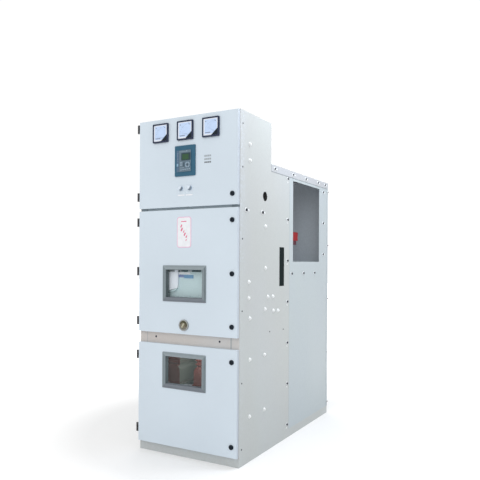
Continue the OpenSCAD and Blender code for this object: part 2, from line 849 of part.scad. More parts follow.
module protection_relay() color(relay_blue)
    translate([instruments_x, y_at(0), relay_z]) {
        rotate([90, 0, 0]) {
            linear_extrude(relay_proud) round_rect(relay_w, relay_h, bezel_r);
            difference() {
                linear_extrude(relay_proud + relay_panel_proud) translate(relay_panel_at)
                    round_rect(relay_panel_w, relay_panel_h, 4);
                translate([display_at[0], display_at[1], relay_proud]) linear_extrude(relay_proud)
                    round_rect(display_w, display_h, 3);
            }
            translate(ring_at) linear_extrude(relay_proud + ring_proud) difference() {
                circle(ring_r);
                circle(ring_r - ring_w);
            }
        }
        block([-relay_case_w / 2, 0, -relay_case_h / 2], [relay_case_w / 2, relay_case_d, relay_case_h / 2]);
    }

// Push buttons: a collar on the door, a lens in front of it and the body through the door
button_collar = 6;
button_lens = 16;
button_step = 3;
button_body = 46;

module push_button() rotate([-90, 0, 0]) rotate_extrude() {
    translate([0, -button_collar]) square([button_r, button_collar]);
    translate([0, -button_lens]) square([button_r - button_step, button_lens]);
    square([button_r - button_step, button_body]);
}

module push_buttons() color("silver")
    for (s = [-1, 1])
        translate([instruments_x + s * button_pitch / 2, y_at(0), button_z]) push_button();

// Window frames: a bezel that slopes in to the pane, held in a cut in the door
pane_depth = 15;
window_cut_gap = 1;
window_lap = 12;
window_rim = 10;
window_step = 3;
bevel_w = 3;
pane_seat = 10;
pane_w = window_w - 2 * window_border;
pane_h = window_h - 2 * window_border;
frame_back = 23;

// Rectangle as large as the pane, grown by the same amount on every side
module pane_rect(grown) square([pane_w + 2 * grown, pane_h + 2 * grown], center = true);

module window_cut(z)
    skin_cut() translate([fittings_x, z + window_h / 2])
        pane_rect(window_border - window_lap + window_cut_gap);

module window_frame(z)
    translate([fittings_x, y_at(0), z + window_h / 2]) rotate([90, 0, 0]) difference() {
        union() {
            linear_extrude(window_proud - window_step) round_rect(window_w, window_h, 4);
            linear_extrude(window_proud)
                round_rect(window_w - 2 * window_rim, window_h - 2 * window_rim, 3);
            translate([0, 0, -frame_back]) linear_extrude(frame_back + 1)
                pane_rect(window_border - window_lap);
        }
        hull() {
            translate([0, 0, window_proud]) linear_extrude(1) pane_rect(bevel_w);
            translate([0, 0, -pane_depth - 1]) linear_extrude(1) pane_rect(0);
        }
        translate([0, 0, -pane_depth - pane_t]) linear_extrude(pane_t + 0.01) pane_rect(pane_seat);
        translate([0, 0, -frame_back - 1]) linear_extrude(frame_back) pane_rect(0);
    }

module window_pane(z)
    translate([fittings_x, y_at(0) + pane_depth, z + window_h / 2]) rotate([-90, 0, 0])
        linear_extrude(pane_t) pane_rect(pane_seat);

breaker_window_z = breaker_door_z + breaker_window_rise;
cable_window_z = cable_door_z + cable_window_rise;
escutcheon_rise = 60;
escutcheon_z = breaker_door_z + escutcheon_rise;
escutcheon_r = 38;
escutcheon_shank_r = 28;
escutcheon_ring = 7;
escutcheon_plate_t = 4;
escutcheon_ring_t = 7;
escutcheon_hub_r = 18;
escutcheon_hub_t = 9;
grip_w = 10;
grip_t = 16;

module breaker_door() color(door_paint) difference() {
    door_pan(breaker_door_z, breaker_door_h);
    window_cut(breaker_window_z);
    skin_cut() translate([fittings_x, escutcheon_z]) circle(escutcheon_shank_r + case_gap);
    lock_cuts(breaker_locks);
}

module breaker_door_hinges() color(black) door_knuckles(breaker_hinges);

module breaker_door_locks() color(black) locks(breaker_locks);

module breaker_window_frame() color(frame_grey) window_frame(breaker_window_z);

module breaker_window_pane() color(pane_colour) window_pane(breaker_window_z);

// Round cover of the racking opening, turned, with a raised rim, a hub and a grip to turn it by
module racking_escutcheon() color(brass)
    translate([fittings_x, y_at(0), escutcheon_z]) {
        rotate([-90, 0, 0]) rotate_extrude() {
            translate([0, -escutcheon_plate_t]) square([escutcheon_r, escutcheon_plate_t]);
            translate([escutcheon_r - escutcheon_ring, -escutcheon_ring_t])
                square([escutcheon_ring, escutcheon_ring_t]);
            translate([0, -escutcheon_hub_t]) square([escutcheon_hub_r, escutcheon_hub_t]);
            square([escutcheon_shank_r, escutcheon_hub_t]);
        }
        rotate([0, 30, 0])
            block([-grip_w / 2, -grip_t, -escutcheon_hub_r + 2], [grip_w / 2, 0, escutcheon_hub_r - 2]);
    }

module cable_door() color(door_paint) difference() {
    door_pan(cable_door_z, cable_door_h);
    window_cut(cable_window_z);
    lock_cuts(cable_locks);
}

module cable_door_hinges() color(black) door_knuckles(cable_hinges);

module cable_door_locks() color(black) locks(cable_locks);

module cable_window_frame() color(frame_grey) window_frame(cable_window_z);

module cable_window_pane() color(pane_colour) window_pane(cable_window_z);

// Breaker truck

wheel_gap = 0.3;
track_top = breaker_floor_z + sheet + track_h;
wheel_z = track_top + wheel_gap + wheel_r;
wheel_w = 22;
wheel_inset = 45;
axle_r = 8;
axle_l = 2;
chassis_lift = 12;
chassis_z = track_top + chassis_lift;
panel_lift = 6;
truck_z = chassis_z + panel_lift;
panel_t = 20;
panel_lip = 14;
panel_bend = 3.5;
mechanism_l = 260;
pole_gap = 70;
chassis_tail = 60;
mechanism_d = truck_panel_d + panel_t;
mechanism_back_d = mechanism_d + mechanism_l;
pole_d = mechanism_back_d + pole_gap;
chassis_back_d = pole_d + chassis_tail;
chassis_side_t = 6;
chassis_half_w = track_half - wheel_w / 2 - axle_l;
chassis_h = 60;
chassis_step = 10;
cross_member_w = 40;
mechanism_top_gap = 30;

// Cover over the control plug, with a corner cut round at its lower right
plug_w = 206;
plug_h = 231;
plug_t = 14;
plug_side_inset = 22;
plug_drop = 120;
plug_corner_r = 45;

module plug_cover()
    translate([-truck_w / 2 + plug_side_inset, 0, truck_h - plug_drop - plug_h])
        rotate([90, 0, 0]) linear_extrude(plug_t) {
            translate([0, plug_corner_r]) square([plug_w, plug_h - plug_corner_r]);
            square([plug_w - plug_corner_r, plug_h]);
            intersection() {
                translate([plug_w - plug_corner_r, plug_corner_r]) circle(plug_corner_r);
                square([plug_w, plug_h]);
            }
        }

// Handles of the racking carriage: a bar on two feet at each side of the racking collar
handle_l = 110;
handle_r = 6;
handle_out = 32;
handle_rise = 45;
handle_x = 190;
collar_r = 26;
collar_bore_r = 14;
collar_t = 16;

module handle() {
    translate([-handle_l / 2, -handle_out, 0]) rotate([0, 90, 0]) cylinder(r = handle_r, h = handle_l);
    for (sx = [-1, 1])
        translate([sx * (handle_l / 2 - handle_r), 0, 0]) rotate([90, 0, 0])
            cylinder(r = handle_r, h = handle_out);
}

// Folded front panel with the plug cover, the racking collar and two handles
module truck_panel() color([0.7, 0.77, 0.79])
    translate([0, y_at(truck_panel_d), truck_z]) {
        difference() {
            union() {
                standing_pan(truck_w, truck_h, panel_t, panel_lip, sheet, panel_bend);
                translate([fittings_x, 0, handle_rise]) rotate([90, 0, 0])
                    cylinder(r = collar_r, h = collar_t);
            }
            translate([fittings_x, sheet + 1, handle_rise]) rotate([90, 0, 0])
                cylinder(r = collar_bore_r, h = collar_t + sheet + 2);
        }
        plug_cover();
        for (sx = [-1, 1])
            translate([fittings_x + sx * handle_x, 0, handle_rise]) handle();
    }

// Chassis and the closed case of the operating mechanism
module truck_body() color([0.62, 0.66, 0.68]) {
    mech_half_w = chassis_half_w - chassis_side_t;
    block([-mech_half_w, y_at(mechanism_d), chassis_z + chassis_h],
          [mech_half_w, y_at(mechanism_back_d), truck_z + truck_h - mechanism_top_gap]);
    for (side = [0, 1])
        mirror([side, 0, 0])
            block([chassis_half_w - chassis_side_t, y_at(mechanism_d), chassis_z],
                  [chassis_half_w, y_at(chassis_back_d), chassis_z + chassis_h + chassis_step]);
    for (d = [mechanism_d, mechanism_back_d - cross_member_w, chassis_back_d - cross_member_w])
        block([-chassis_half_w, y_at(d), chassis_z + chassis_step],
              [chassis_half_w, y_at(d + cross_member_w), chassis_z + chassis_h]);
}

module truck_wheels() color("dimgray")
    for (sx = [-1, 1], d = [mechanism_d + wheel_inset, chassis_back_d - wheel_inset])
        translate([sx * track_half, y_at(d), wheel_z]) rotate([0, 90, 0])
            translate([0, 0, -wheel_w / 2]) {
                cylinder(r = wheel_r, h = wheel_w);
                translate([0, 0, sx > 0 ? -axle_l : wheel_w]) cylinder(r = axle_r, h = axle_l);
            }

// Insulating poles on brackets behind the mechanism
pole_foot = 100;
pole_head = 85;
pole_z0 = lower_contact_z - pole_foot;
pole_z1 = upper_contact_z + pole_head;
pole_rib_t = 10;
pole_rib_out = 6;
pole_ribs = 4;
bracket_w = 70;
bracket_h = 50;
bracket_top_gap = 110;
bracket_drop = 40;
pole_boss_r = 36;
pole_boss_out = 8;
pole_boss_d = pole_d + pole_r + pole_boss_out;
module breaker_poles() color(epoxy)
    for (p = phases)
        translate([p * phase_pitch, 0, 0]) {
            rib_step = (contact_pitch - 2 * pole_boss_r - pole_rib_t) / (pole_ribs + 1);
            translate([0, y_at(pole_d), pole_z0]) cylinder(r = pole_r, h = pole_z1 - pole_z0);
            for (i = [1 : pole_ribs])
                translate([0, y_at(pole_d), lower_contact_z + pole_boss_r + i * rib_step])
                    cylinder(r = pole_r + pole_rib_out, h = pole_rib_t);
            for (z = [lower_contact_z, upper_contact_z])
                translate([0, 0, z]) lying_cylinder(pole_boss_r, pole_d, pole_boss_d);
            for (z = [lower_contact_z - bracket_drop, truck_z + truck_h - bracket_top_gap])
                block([-bracket_w / 2, y_at(mechanism_back_d), z],
                      [bracket_w / 2, y_at(pole_d), z + bracket_h]);
        }

// Contact arms, each with a ring of spring fingers that slides over a fixed contact
arm_r = 24;
cup_r = 44;
cup_gap = 5;
cup_back_t = 12;
fingers = 8;
finger_slot = 4;
spring_w = 5;
spring_out = 2;
spring_in = 3;
module contact_arm() {
    cup_back_d = arm_tip_d - cup_depth;
    difference() {
        union() {
            lying_cylinder(arm_r, pole_boss_d, cup_back_d - cup_back_t / 2);
            lying_cylinder(cup_r, cup_back_d - cup_back_t, arm_tip_d);
        }
        lying_cylinder(fixed_contact_r + cup_gap, cup_back_d, arm_tip_d + 1);
        for (i = [1 : fingers / 2])
            rotate([0, i * 360 / fingers, 0])
                block([-cup_r - 1, y_at(cup_back_d), -finger_slot / 2],
                      [cup_r + 1, y_at(arm_tip_d) + 1, finger_slot / 2]);
    }
    spring_d = cup_back_d + cup_depth / 2;
    difference() {
        lying_cylinder(cup_r + spring_out, spring_d, spring_d + spring_w);
        lying_cylinder(cup_r - spring_in, spring_d - 1, spring_d + spring_w + 1);
    }
}

module contact_arms() color(copper) at_contacts() contact_arm();

base_frame();
left_post();
right_post();
left_side_wall();
right_side_wall();
left_rear_wall();
right_rear_wall();
instrument_box();
instrument_roof();
rear_roof();
relief_flaps();
rear_covers();
door_rail();
cross_strip();
breaker_floor();
breaker_partition();
busbar_floor();
busbar_back();
contact_boxes();
phase_bars();
yellow_sleeve();
green_sleeve();
red_sleeve();
transformer_rails();
instrument_transformers();
fixed_hinges();
instrument_door();
instrument_door_hinges();
instrument_door_lock();
meters();
protection_relay();
push_buttons();
breaker_door();
breaker_door_hinges();
breaker_door_locks();
breaker_window_frame();
breaker_window_pane();
racking_escutcheon();
cable_door();
cable_door_hinges();
cable_door_locks();
cable_window_frame();
cable_window_pane();
truck_panel();
truck_body();
truck_wheels();
breaker_poles();
contact_arms();
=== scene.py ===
"""Looks of the metal-clad switchgear cabinet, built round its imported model.

Everything is in metres, in the model's own frame: X to the right seen from the doors, Y from
the doors to the rear covers, Z up, with the origin on the floor under the middle of the body.
"""
import math
import random

import bmesh
import bpy
from mathutils import Matrix, Vector


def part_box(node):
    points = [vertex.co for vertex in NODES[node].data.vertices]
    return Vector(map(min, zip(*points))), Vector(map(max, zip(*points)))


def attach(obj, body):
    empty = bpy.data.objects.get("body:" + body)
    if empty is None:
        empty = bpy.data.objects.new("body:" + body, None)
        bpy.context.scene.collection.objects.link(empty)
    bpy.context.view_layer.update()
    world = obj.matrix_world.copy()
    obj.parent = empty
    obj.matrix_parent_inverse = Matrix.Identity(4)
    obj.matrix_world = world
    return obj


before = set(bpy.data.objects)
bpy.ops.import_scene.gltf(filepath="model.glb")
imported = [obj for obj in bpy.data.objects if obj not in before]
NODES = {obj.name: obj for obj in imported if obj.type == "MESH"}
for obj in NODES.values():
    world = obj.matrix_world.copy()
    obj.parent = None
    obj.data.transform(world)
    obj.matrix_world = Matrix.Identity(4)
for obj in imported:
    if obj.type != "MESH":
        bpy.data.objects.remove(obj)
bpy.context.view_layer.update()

# Places that fittings are measured from

DOOR_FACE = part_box("breaker_door")[0].y
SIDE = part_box("right_side_wall")[1].x
SKIRT_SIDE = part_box("rear_roof")[1].x
REAR_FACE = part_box("rear_covers")[1].y
REAR_ROOF_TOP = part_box("rear_roof")[1].z
POST_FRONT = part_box("right_post")[0].y
BOX_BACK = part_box("contact_boxes")[1].y
INSTRUMENT_X = (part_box("protection_relay")[0].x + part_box("protection_relay")[1].x) / 2

# The doors, each with the body that it turns with
DOORS = {"instrument_door": "upper_door", "breaker_door": "middle_door", "cable_door": "lower_door"}


def depth(d):
    """Y of a point that lies d metres behind the door faces."""
    return DOOR_FACE + d


# Colours

def rgb(r, g, b):
    """Linear colour of an sRGB colour given from 0 to 255."""
    def channel(v):
        v /= 255
        return v / 12.92 if v <= 0.04045 else ((v + 0.055) / 1.055) ** 2.4
    return (channel(r), channel(g), channel(b), 1.0)


def shaded(colour, share):
    """A colour made darker or lighter by a share of itself."""
    return tuple(min(1.0, c * share) for c in colour[:3]) + (1.0,)


# Nodes that materials and the world share

def feed(tree, socket, value):
    """Links an input to another node's output, or gives it a plain value."""
    if isinstance(value, bpy.types.NodeSocket):
        tree.links.new(value, socket)
    else:
        socket.default_value = value


def maths(tree, kind, first, second):
    made = tree.nodes.new("ShaderNodeMath")
    made.operation = kind
    feed(tree, made.inputs[0], first)
    feed(tree, made.inputs[1], second)
    return made.outputs[0]


def ranged(tree, value, source, target):
    """Moves a value from the source range to the target range, held at its ends."""
    made = tree.nodes.new("ShaderNodeMapRange")
    for name, end in zip(("From Min", "From Max", "To Min", "To Max"), (*source, *target)):
        made.inputs[name].default_value = end
    tree.links.new(value, made.inputs["Value"])
    return made.outputs["Result"]


def seen_directly(tree):
    """1 for what the camera, gloss and glass see, and 0 for all other rays."""
    path = tree.nodes.new("ShaderNodeLightPath")
    plain = maths(tree, "MAXIMUM", path.outputs["Is Camera Ray"], path.outputs["Is Glossy Ray"])
    return maths(tree, "MAXIMUM", plain, path.outputs["Is Transmission Ray"])


# Materials

class Look:
    """A Principled shader with the noise, bump and colour nodes that feed it."""

    def __init__(self, name, colour, roughness=0.5, metallic=0.0):
        self.mat = bpy.data.materials.new(name)
        self.mat.use_nodes = True
        self.tree = self.mat.node_tree
        self.bsdf = self.tree.nodes["Principled BSDF"]
        self.colour = colour
        self.set("Base Color", colour)
        self.set("Roughness", roughness)
        self.set("Metallic", metallic)
        self.place = self.node("ShaderNodeTexCoord").outputs["Object"]
        self.normal = None

    def set(self, socket, value):
        self.bsdf.inputs[socket].default_value = value

    def node(self, kind, **settings):
        made = self.tree.nodes.new(kind)
        for key, value in settings.items():
            setattr(made, key, value)
        return made

    def link(self, source, target):
        self.tree.links.new(source, target)

    def stretched(self, scale):
        mapping = self.node("ShaderNodeMapping")
        mapping.inputs["Scale"].default_value = scale
        self.link(self.place, mapping.inputs["Vector"])
        return mapping.outputs["Vector"]

    def noise(self, scale, detail, stretch=None):
        made = self.node("ShaderNodeTexNoise")
        made.inputs["Scale"].default_value = scale
        made.inputs["Detail"].default_value = detail
        self.link(self.stretched(stretch) if stretch else self.place, made.inputs["Vector"])
        return made.outputs["Fac"]

    def cells(self, scale):
        made = self.node("ShaderNodeTexVoronoi")
        made.inputs["Scale"].default_value = scale
        self.link(self.place, made.inputs["Vector"])
        return made.outputs["Color"]

    def ranged(self, value, source, target=(0.0, 1.0)):
        return ranged(self.tree, value, source, target)

    def axis(self, letter):
        """X, Y or Z of the point, in metres in the model's frame."""
        split = self.node("ShaderNodeSeparateXYZ")
        self.link(self.place, split.inputs["Vector"])
        return split.outputs[letter]

    def maths(self, kind, first, second):
        return maths(self.tree, kind, first, second)

    def mix(self, factor, first, second):
        """Mixes two colours, all of the second where the factor is 1."""
        made = self.node("ShaderNodeMix", data_type="RGBA")
        colours = [socket for socket in made.inputs if socket.type == "RGBA"]
        for socket, value in zip((made.inputs[0], *colours), (factor, first, second)):
            feed(self.tree, socket, value)
        return [socket for socket in made.outputs if socket.type == "RGBA"][0]

    def tint(self, factor, other):
        """Turns the colour towards another one where the factor is high."""
        self.colour = self.mix(factor, self.colour, other)
        self.link(self.colour, self.bsdf.inputs["Base Color"])

    def vary_roughness(self, value, low, high):
        self.link(self.ranged(value, (0.0, 1.0), (low, high)), self.bsdf.inputs["Roughness"])

    def bump(self, height, distance, strength):
        """Adds a bump to those that are there."""
        made = self.node("ShaderNodeBump")
        made.inputs["Distance"].default_value = distance
        made.inputs["Strength"].default_value = strength
        self.link(height, made.inputs["Height"])
        if self.normal is not None:
            self.link(self.normal, made.inputs["Normal"])
        self.normal = made.outputs["Normal"]
        self.link(self.normal, self.bsdf.inputs["Normal"])


def powder_coat(name, colour, roughness):
    """Baked paint with a thin coat, faint clouds and a fine orange peel."""
    look = Look(name, colour, roughness)
    look.set("Coat Weight", 0.12)
    look.set("Coat Roughness", 0.25)
    look.tint(look.ranged(look.noise(1.7, 4.0), (0.35, 0.75)), shaded(colour, 0.94))
    look.vary_roughness(look.noise(9.0, 4.0), roughness - 0.06, roughness + 0.08)
    look.bump(look.noise(420.0, 2.0), distance=0.00006, strength=0.6)
    return look.mat


# A paler stretch of the side sheets that runs up behind the doors, palest towards the top, as depths and
# heights: the paling towards the top is painted light
PALE_FRONT_DEPTHS = (depth(0.050), depth(0.115))
TOP_LIGHT_HEIGHTS = (0.8, 1.9)
TOP_LIGHT_LEAST = 0.3
CLOUD_RANGE = (0.0, 0.3)


def zinc_sheet(name, colour, spangle=0.015, pale_front=None):
    """Dull aluminium-zinc coated sheet: faint crystals, long cloudy tints and a fine grain."""
    look = Look(name, colour, 0.5, 0.12)
    if pale_front:
        # Paler near the front edge, more so higher up: the rise towards the top is painted light
        near = look.ranged(look.axis("Y"), PALE_FRONT_DEPTHS, (1.0, 0.0))
        upper = look.ranged(look.axis("Z"), TOP_LIGHT_HEIGHTS, (TOP_LIGHT_LEAST, 1.0))
        look.tint(look.maths("MULTIPLY", near, upper), pale_front)
    crystal = look.node("ShaderNodeSeparateColor")
    look.link(look.cells(95.0), crystal.inputs["Color"])
    look.tint(look.ranged(crystal.outputs["Red"], (0.2, 0.8)), shaded(colour, 1 + spangle))
    look.tint(look.ranged(crystal.outputs["Green"], (0.3, 1.0)), shaded(colour, 1 - spangle))
    greenish = look.noise(1.3, 3.0, stretch=(1, 1, 0.6))
    look.tint(look.ranged(greenish, (0.45, 0.7), CLOUD_RANGE), rgb(190, 200, 195))
    bluish = look.noise(1.1, 2.0, stretch=(1.3, 1.3, 0.5))
    look.tint(look.ranged(bluish, (0.5, 0.75), CLOUD_RANGE), rgb(192, 199, 210))
    look.vary_roughness(crystal.outputs["Blue"], 0.46, 0.56)
    look.bump(look.noise(2.2, 2.0), distance=0.0004, strength=0.3)
    look.bump(look.noise(700.0, 2.0, stretch=(1, 1, 0.08)), distance=0.00003, strength=0.4)
    return look.mat


def moulded(name, colour, roughness, grain=0.00005, gloss=0.5):
    """Moulded plastic, rubber or printed plate with a fine grain."""
    look = Look(name, colour, roughness)
    look.set("Specular IOR Level", gloss)
    look.tint(look.ranged(look.noise(38.0, 4.0), (0.4, 0.8), (0.0, 0.5)), shaded(colour, 0.82))
    look.vary_roughness(look.noise(60.0, 3.0), roughness - 0.05, roughness + 0.1)
    look.bump(look.noise(1400.0, 2.0), distance=grain, strength=0.5)
    return look.mat


def turned_metal(name, colour, roughness, grain=0.00004, wear=0.7):
    """Bare metal with dull stains and fine marks of the tool."""
    look = Look(name, colour, roughness, 1.0)
    look.tint(look.ranged(look.noise(70.0, 4.0), (0.45, 0.8), (0.0, 0.8)), shaded(colour, wear))
    look.vary_roughness(look.noise(120.0, 3.0), roughness * 0.8, roughness * 1.5)
    look.bump(look.noise(900.0, 2.0, stretch=(1, 1, 0.2)), distance=grain, strength=0.5)
    return look.mat


def cast_resin(name, colour):
    """Glossy cast resin with dark clouds and a slightly wavy skin."""
    look = Look(name, colour, 0.3)
    look.set("Coat Weight", 0.3)
    look.set("Coat Roughness", 0.15)
    look.tint(look.ranged(look.noise(6.0, 5.0), (0.35, 0.8), (0.0, 0.7)), shaded(colour, 0.7))
    look.bump(look.noise(25.0, 3.0), distance=0.0004, strength=0.3)
    return look.mat


def clear_glass(name):
    """Clear pane: it lets most light straight through and keeps a gloss of its own."""
    look = Look(name, rgb(180, 200, 198), 0.06)
    look.set("Alpha", 0.05)
    look.bump(look.noise(3.0, 1.0), distance=0.0002, strength=0.1)
    return look.mat


TRUCK_COLOUR = rgb(200, 223, 227)
COVER_COLOUR = rgb(240, 246, 255)

# The cover turns white over a short stretch above a line that rises with X
LINE_RISE = 0.23
LINE_HEIGHTS = (1.1600, 1.1625)


def cover_sheet(name):
    """White cover whose lower end, under a slanted line, is in the colour of the truck."""
    look = Look(name, TRUCK_COLOUR, 0.45)
    line = look.maths("ADD", look.axis("Z"), look.maths("MULTIPLY", look.axis("X"), -LINE_RISE))
    look.tint(look.ranged(line, LINE_HEIGHTS), COVER_COLOUR)
    look.vary_roughness(look.noise(60.0, 3.0), 0.4, 0.55)
    look.bump(look.noise(900.0, 2.0), distance=0.00005, strength=0.4)
    return look.mat


# Heights of a grain that isn't the usual one
FINE, COARSE, ROUGH = 0.00001, 0.0001, 0.0002

# Paint and sheet of the body and doors
DOOR_PAINT = powder_coat("door_paint", rgb(212, 224, 234), 0.45)
# A darker copy of the door paint for the doors' side faces: painted shade
DOOR_SIDE_SHADE = powder_coat("door_side_shade", rgb(192, 202, 213), 0.5)
ZINC = zinc_sheet("zinc_sheet", rgb(189, 193, 193), pale_front=rgb(201, 207, 213))
REAR_ZINC = zinc_sheet("rear_zinc", rgb(184, 194, 199))
ROOF_ZINC = zinc_sheet("roof_zinc", rgb(186, 189, 194), 0.01)
INNER_ZINC = zinc_sheet("inner_zinc", rgb(176, 183, 189), 0.05)
STRIP_ZINC = zinc_sheet("strip_zinc", rgb(194, 188, 184), 0.02)
# Grey of the joints, also used for the painted shadow under the rear roof's skirt
SEAM_AND_SHADOW_GREY = moulded("seam_and_shadow_grey", rgb(150, 158, 162), 0.6)
# Mid grey of the rail seen in the gap between the upper doors: painted shade
RAIL_SHADE_GREY = powder_coat("rail_grey", rgb(160, 172, 178), 0.55)
HINGE_BLACK = powder_coat("hinge_black", rgb(38, 38, 41), 0.5)
LOCK_BLACK = moulded("lock_black", rgb(14, 28, 40), 0.4, gloss=0.2)
# Dark rubber of the door seals, also used for the painted shade behind the wiring slots
GASKET_AND_SLOT_SHADE = moulded("gasket_and_slot_shade", rgb(30, 38, 39), 0.9, COARSE, gloss=0.08)
# Grey of the strips behind the gap between the upper doors: painted shade
GAP_SHADE = moulded("gap_shade", rgb(132, 142, 148), 0.6, COARSE)

# Windows
WINDOW_GREY = moulded("window_grey", rgb(122, 134, 139), 0.46)
# Lighter and darker copies of the frame grey, and a dark grey for the pane's recess: painted highlight and
# painted shade
FRAME_TOP_LIT = moulded("frame_top_lit", rgb(142, 153, 158), 0.46)
FRAME_LOW_SHADE = moulded("frame_low_shade", rgb(112, 119, 127), 0.46)
PANE_RECESS_SHADE = moulded("pane_recess_shade", rgb(98, 109, 112), 0.7, COARSE, gloss=0.15)
GLASS = clear_glass("window_glass")

# Meters, relay and buttons
METER_NAVY = moulded("meter_navy", rgb(40, 48, 72), 0.4, gloss=0.25)
METER_DARK = moulded("meter_dark", rgb(24, 34, 43), 0.3, gloss=0.15)
DIAL_WHITE = moulded("dial_white", rgb(232, 238, 248), 0.4, FINE)
DIAL = moulded("dial_face", rgb(198, 219, 250), 0.4, FINE)
INK = moulded("ink", rgb(120, 128, 150), 0.5)
RELAY_BLUE = moulded("relay_blue", rgb(50, 96, 120), 0.42, gloss=0.25)
RELAY_GREY = moulded("relay_grey", rgb(102, 121, 134), 0.42, gloss=0.25)
RELAY_DARK = moulded("relay_dark", rgb(50, 70, 76), 0.4, gloss=0.2)
RELAY_SHADE = moulded("relay_shade", rgb(76, 94, 106), 0.4, gloss=0.2)
RELAY_STRIP = moulded("relay_strip", rgb(88, 112, 136), 0.42, gloss=0.25)
RELAY_LAMP = moulded("relay_lamp", rgb(140, 176, 198), 0.4, gloss=0.25)
KEY_GREY = moulded("key_grey", rgb(144, 163, 178), 0.4, gloss=0.25)
DISPLAY = moulded("display_green", rgb(56, 88, 62), 0.3, FINE, gloss=0.2)
SLOT_GREY = moulded("slot_grey", rgb(166, 174, 180), 0.5)
SLOT_DARK = moulded("slot_dark", rgb(120, 125, 130), 0.5)
CHROME = turned_metal("button_chrome", rgb(196, 206, 218), 0.3, FINE, 0.9)
BUTTON_PALE = moulded("button_pale", rgb(222, 233, 244), 0.35, FINE, gloss=0.4)
BUTTON_SHADE = moulded("button_shade", rgb(128, 140, 153), 0.4, FINE, gloss=0.2)

# Racking escutcheon
ESCUTCHEON = turned_metal("escutcheon_metal", rgb(150, 152, 152), 0.45)
# Dark olive and lighter grey of the escutcheon's recess: painted shade and painted light
RECESS_SHADE_OLIVE = moulded("recess_shade_olive", rgb(92, 92, 70), 0.6, COARSE, gloss=0.2)
RECESS_LIT_GREY = moulded("recess_lit_grey", rgb(134, 132, 122), 0.6, COARSE, gloss=0.2)
HUB_BROWN = moulded("hub_brown", rgb(128, 118, 102), 0.5, COARSE, gloss=0.3)
GRIP_PALE = moulded("grip_pale", rgb(184, 182, 158), 0.45, COARSE, gloss=0.3)

# Truck and the pieces inside
TRUCK_PAINT = powder_coat("truck_paint", TRUCK_COLOUR, 0.5)
COVER_WHITE = cover_sheet("cover_white")
CASE_GREY = powder_coat("case_grey", rgb(150, 158, 162), 0.5)
LAMP_GREEN = moulded("lamp_green", rgb(60, 150, 90), 0.25, FINE)
LAMP_RED = moulded("lamp_red", rgb(190, 50, 50), 0.25, FINE)
COPPER = turned_metal("copper_bar", rgb(196, 140, 108), 0.3)
# Dark maroon of the phase bars behind the contact boxes: painted shade
BAR_SHADE_MAROON = moulded("bar_shade_maroon", rgb(84, 38, 50), 0.55, COARSE, gloss=0.3)
SLEEVE_YELLOW = moulded("sleeve_yellow", rgb(226, 184, 40), 0.5, ROUGH)
SLEEVE_GREEN = moulded("sleeve_green", rgb(46, 132, 84), 0.5, ROUGH)
SLEEVE_RED = moulded("sleeve_red", rgb(148, 16, 26), 0.5, ROUGH, gloss=0.3)
RESIN = cast_resin("cast_resin", rgb(104, 52, 46))
# Grey resin for the transformers' flanks that face right: painted shade
RESIN_FLANK_SHADE = cast_resin("resin_flank_shade", rgb(112, 116, 108))
STEEL = turned_metal("bright_steel", rgb(206, 208, 212), 0.28)

# Plates, bolts and rivets
PLATE_WHITE = moulded("plate_white", rgb(240, 242, 246), 0.4)
PLATE_PINK = moulded("plate_pink", rgb(238, 190, 214), 0.45)
PLATE_ROSE = moulded("plate_rose", rgb(228, 120, 150), 0.45)
PLATE_BLUE = moulded("plate_blue", rgb(92, 144, 186), 0.42)
PLATE_VIOLET = moulded("plate_violet", rgb(108, 124, 172), 0.42)
BOLT_DARK = turned_metal("dark_bolt", rgb(62, 66, 74), 0.42)
ZINC_BRIGHT = turned_metal("bright_zinc", rgb(240, 243, 246), 0.3, 0.00002, 0.92)
# White of the side washers and rivets and of the roof's edge domes: painted glint
GLINT_WHITE = moulded("glint_white", rgb(242, 245, 246), 0.5)

NODE_LOOKS = {
    DOOR_PAINT: DOORS,
    ZINC: ["left_side_wall", "right_side_wall", "instrument_box", "instrument_roof", "base_frame",
           "left_post", "right_post"],
    REAR_ZINC: ["left_rear_wall", "right_rear_wall", "rear_covers"],
    ROOF_ZINC: ["rear_roof", "relief_flaps"],
    STRIP_ZINC: ["cross_strip"],
    INNER_ZINC: ["breaker_floor", "breaker_partition", "busbar_floor", "busbar_back", "transformer_rails"],
    RAIL_SHADE_GREY: ["door_rail"],
    RESIN: ["contact_boxes", "instrument_transformers", "breaker_poles"],
    COPPER: ["phase_bars", "contact_arms"],
    HINGE_BLACK: ["fixed_hinges"] + [f"{door}_hinges" for door in DOORS],
    LOCK_BLACK: ["instrument_door_lock", "breaker_door_locks", "cable_door_locks"],
    METER_NAVY: ["meters"],
    RELAY_BLUE: ["protection_relay"],
    CHROME: ["push_buttons"],
    WINDOW_GREY: ["breaker_window_frame", "cable_window_frame"],
    GLASS: ["breaker_window_pane", "cable_window_pane"],
    ESCUTCHEON: ["racking_escutcheon"],
    TRUCK_PAINT: ["truck_panel"],
    CASE_GREY: ["truck_body"],
    STEEL: ["truck_wheels"],
    SLEEVE_YELLOW: ["yellow_sleeve"],
    SLEEVE_GREEN: ["green_sleeve"],
    SLEEVE_RED: ["red_sleeve"],
}


def dress_node(name, mat):
    """Gives all faces of a node of the model one material."""
    node = NODES[name]
    node.data.materials.clear()
    node.data.materials.append(mat)
    for face in node.data.polygons:
        face.material_index = 0


def dress_faces(name, mat, chosen):
    """Gives another material to the faces whose middle and normal are chosen."""
    node = NODES[name]
    index = len(node.data.materials)
    node.data.materials.append(mat)
    turn = node.matrix_world.to_3x3()
    for face in node.data.polygons:
        if chosen(node.matrix_world @ face.center, turn @ face.normal):
            face.material_index = index


for mat, names in NODE_LOOKS.items():
    for name in names:
        dress_node(name, mat)

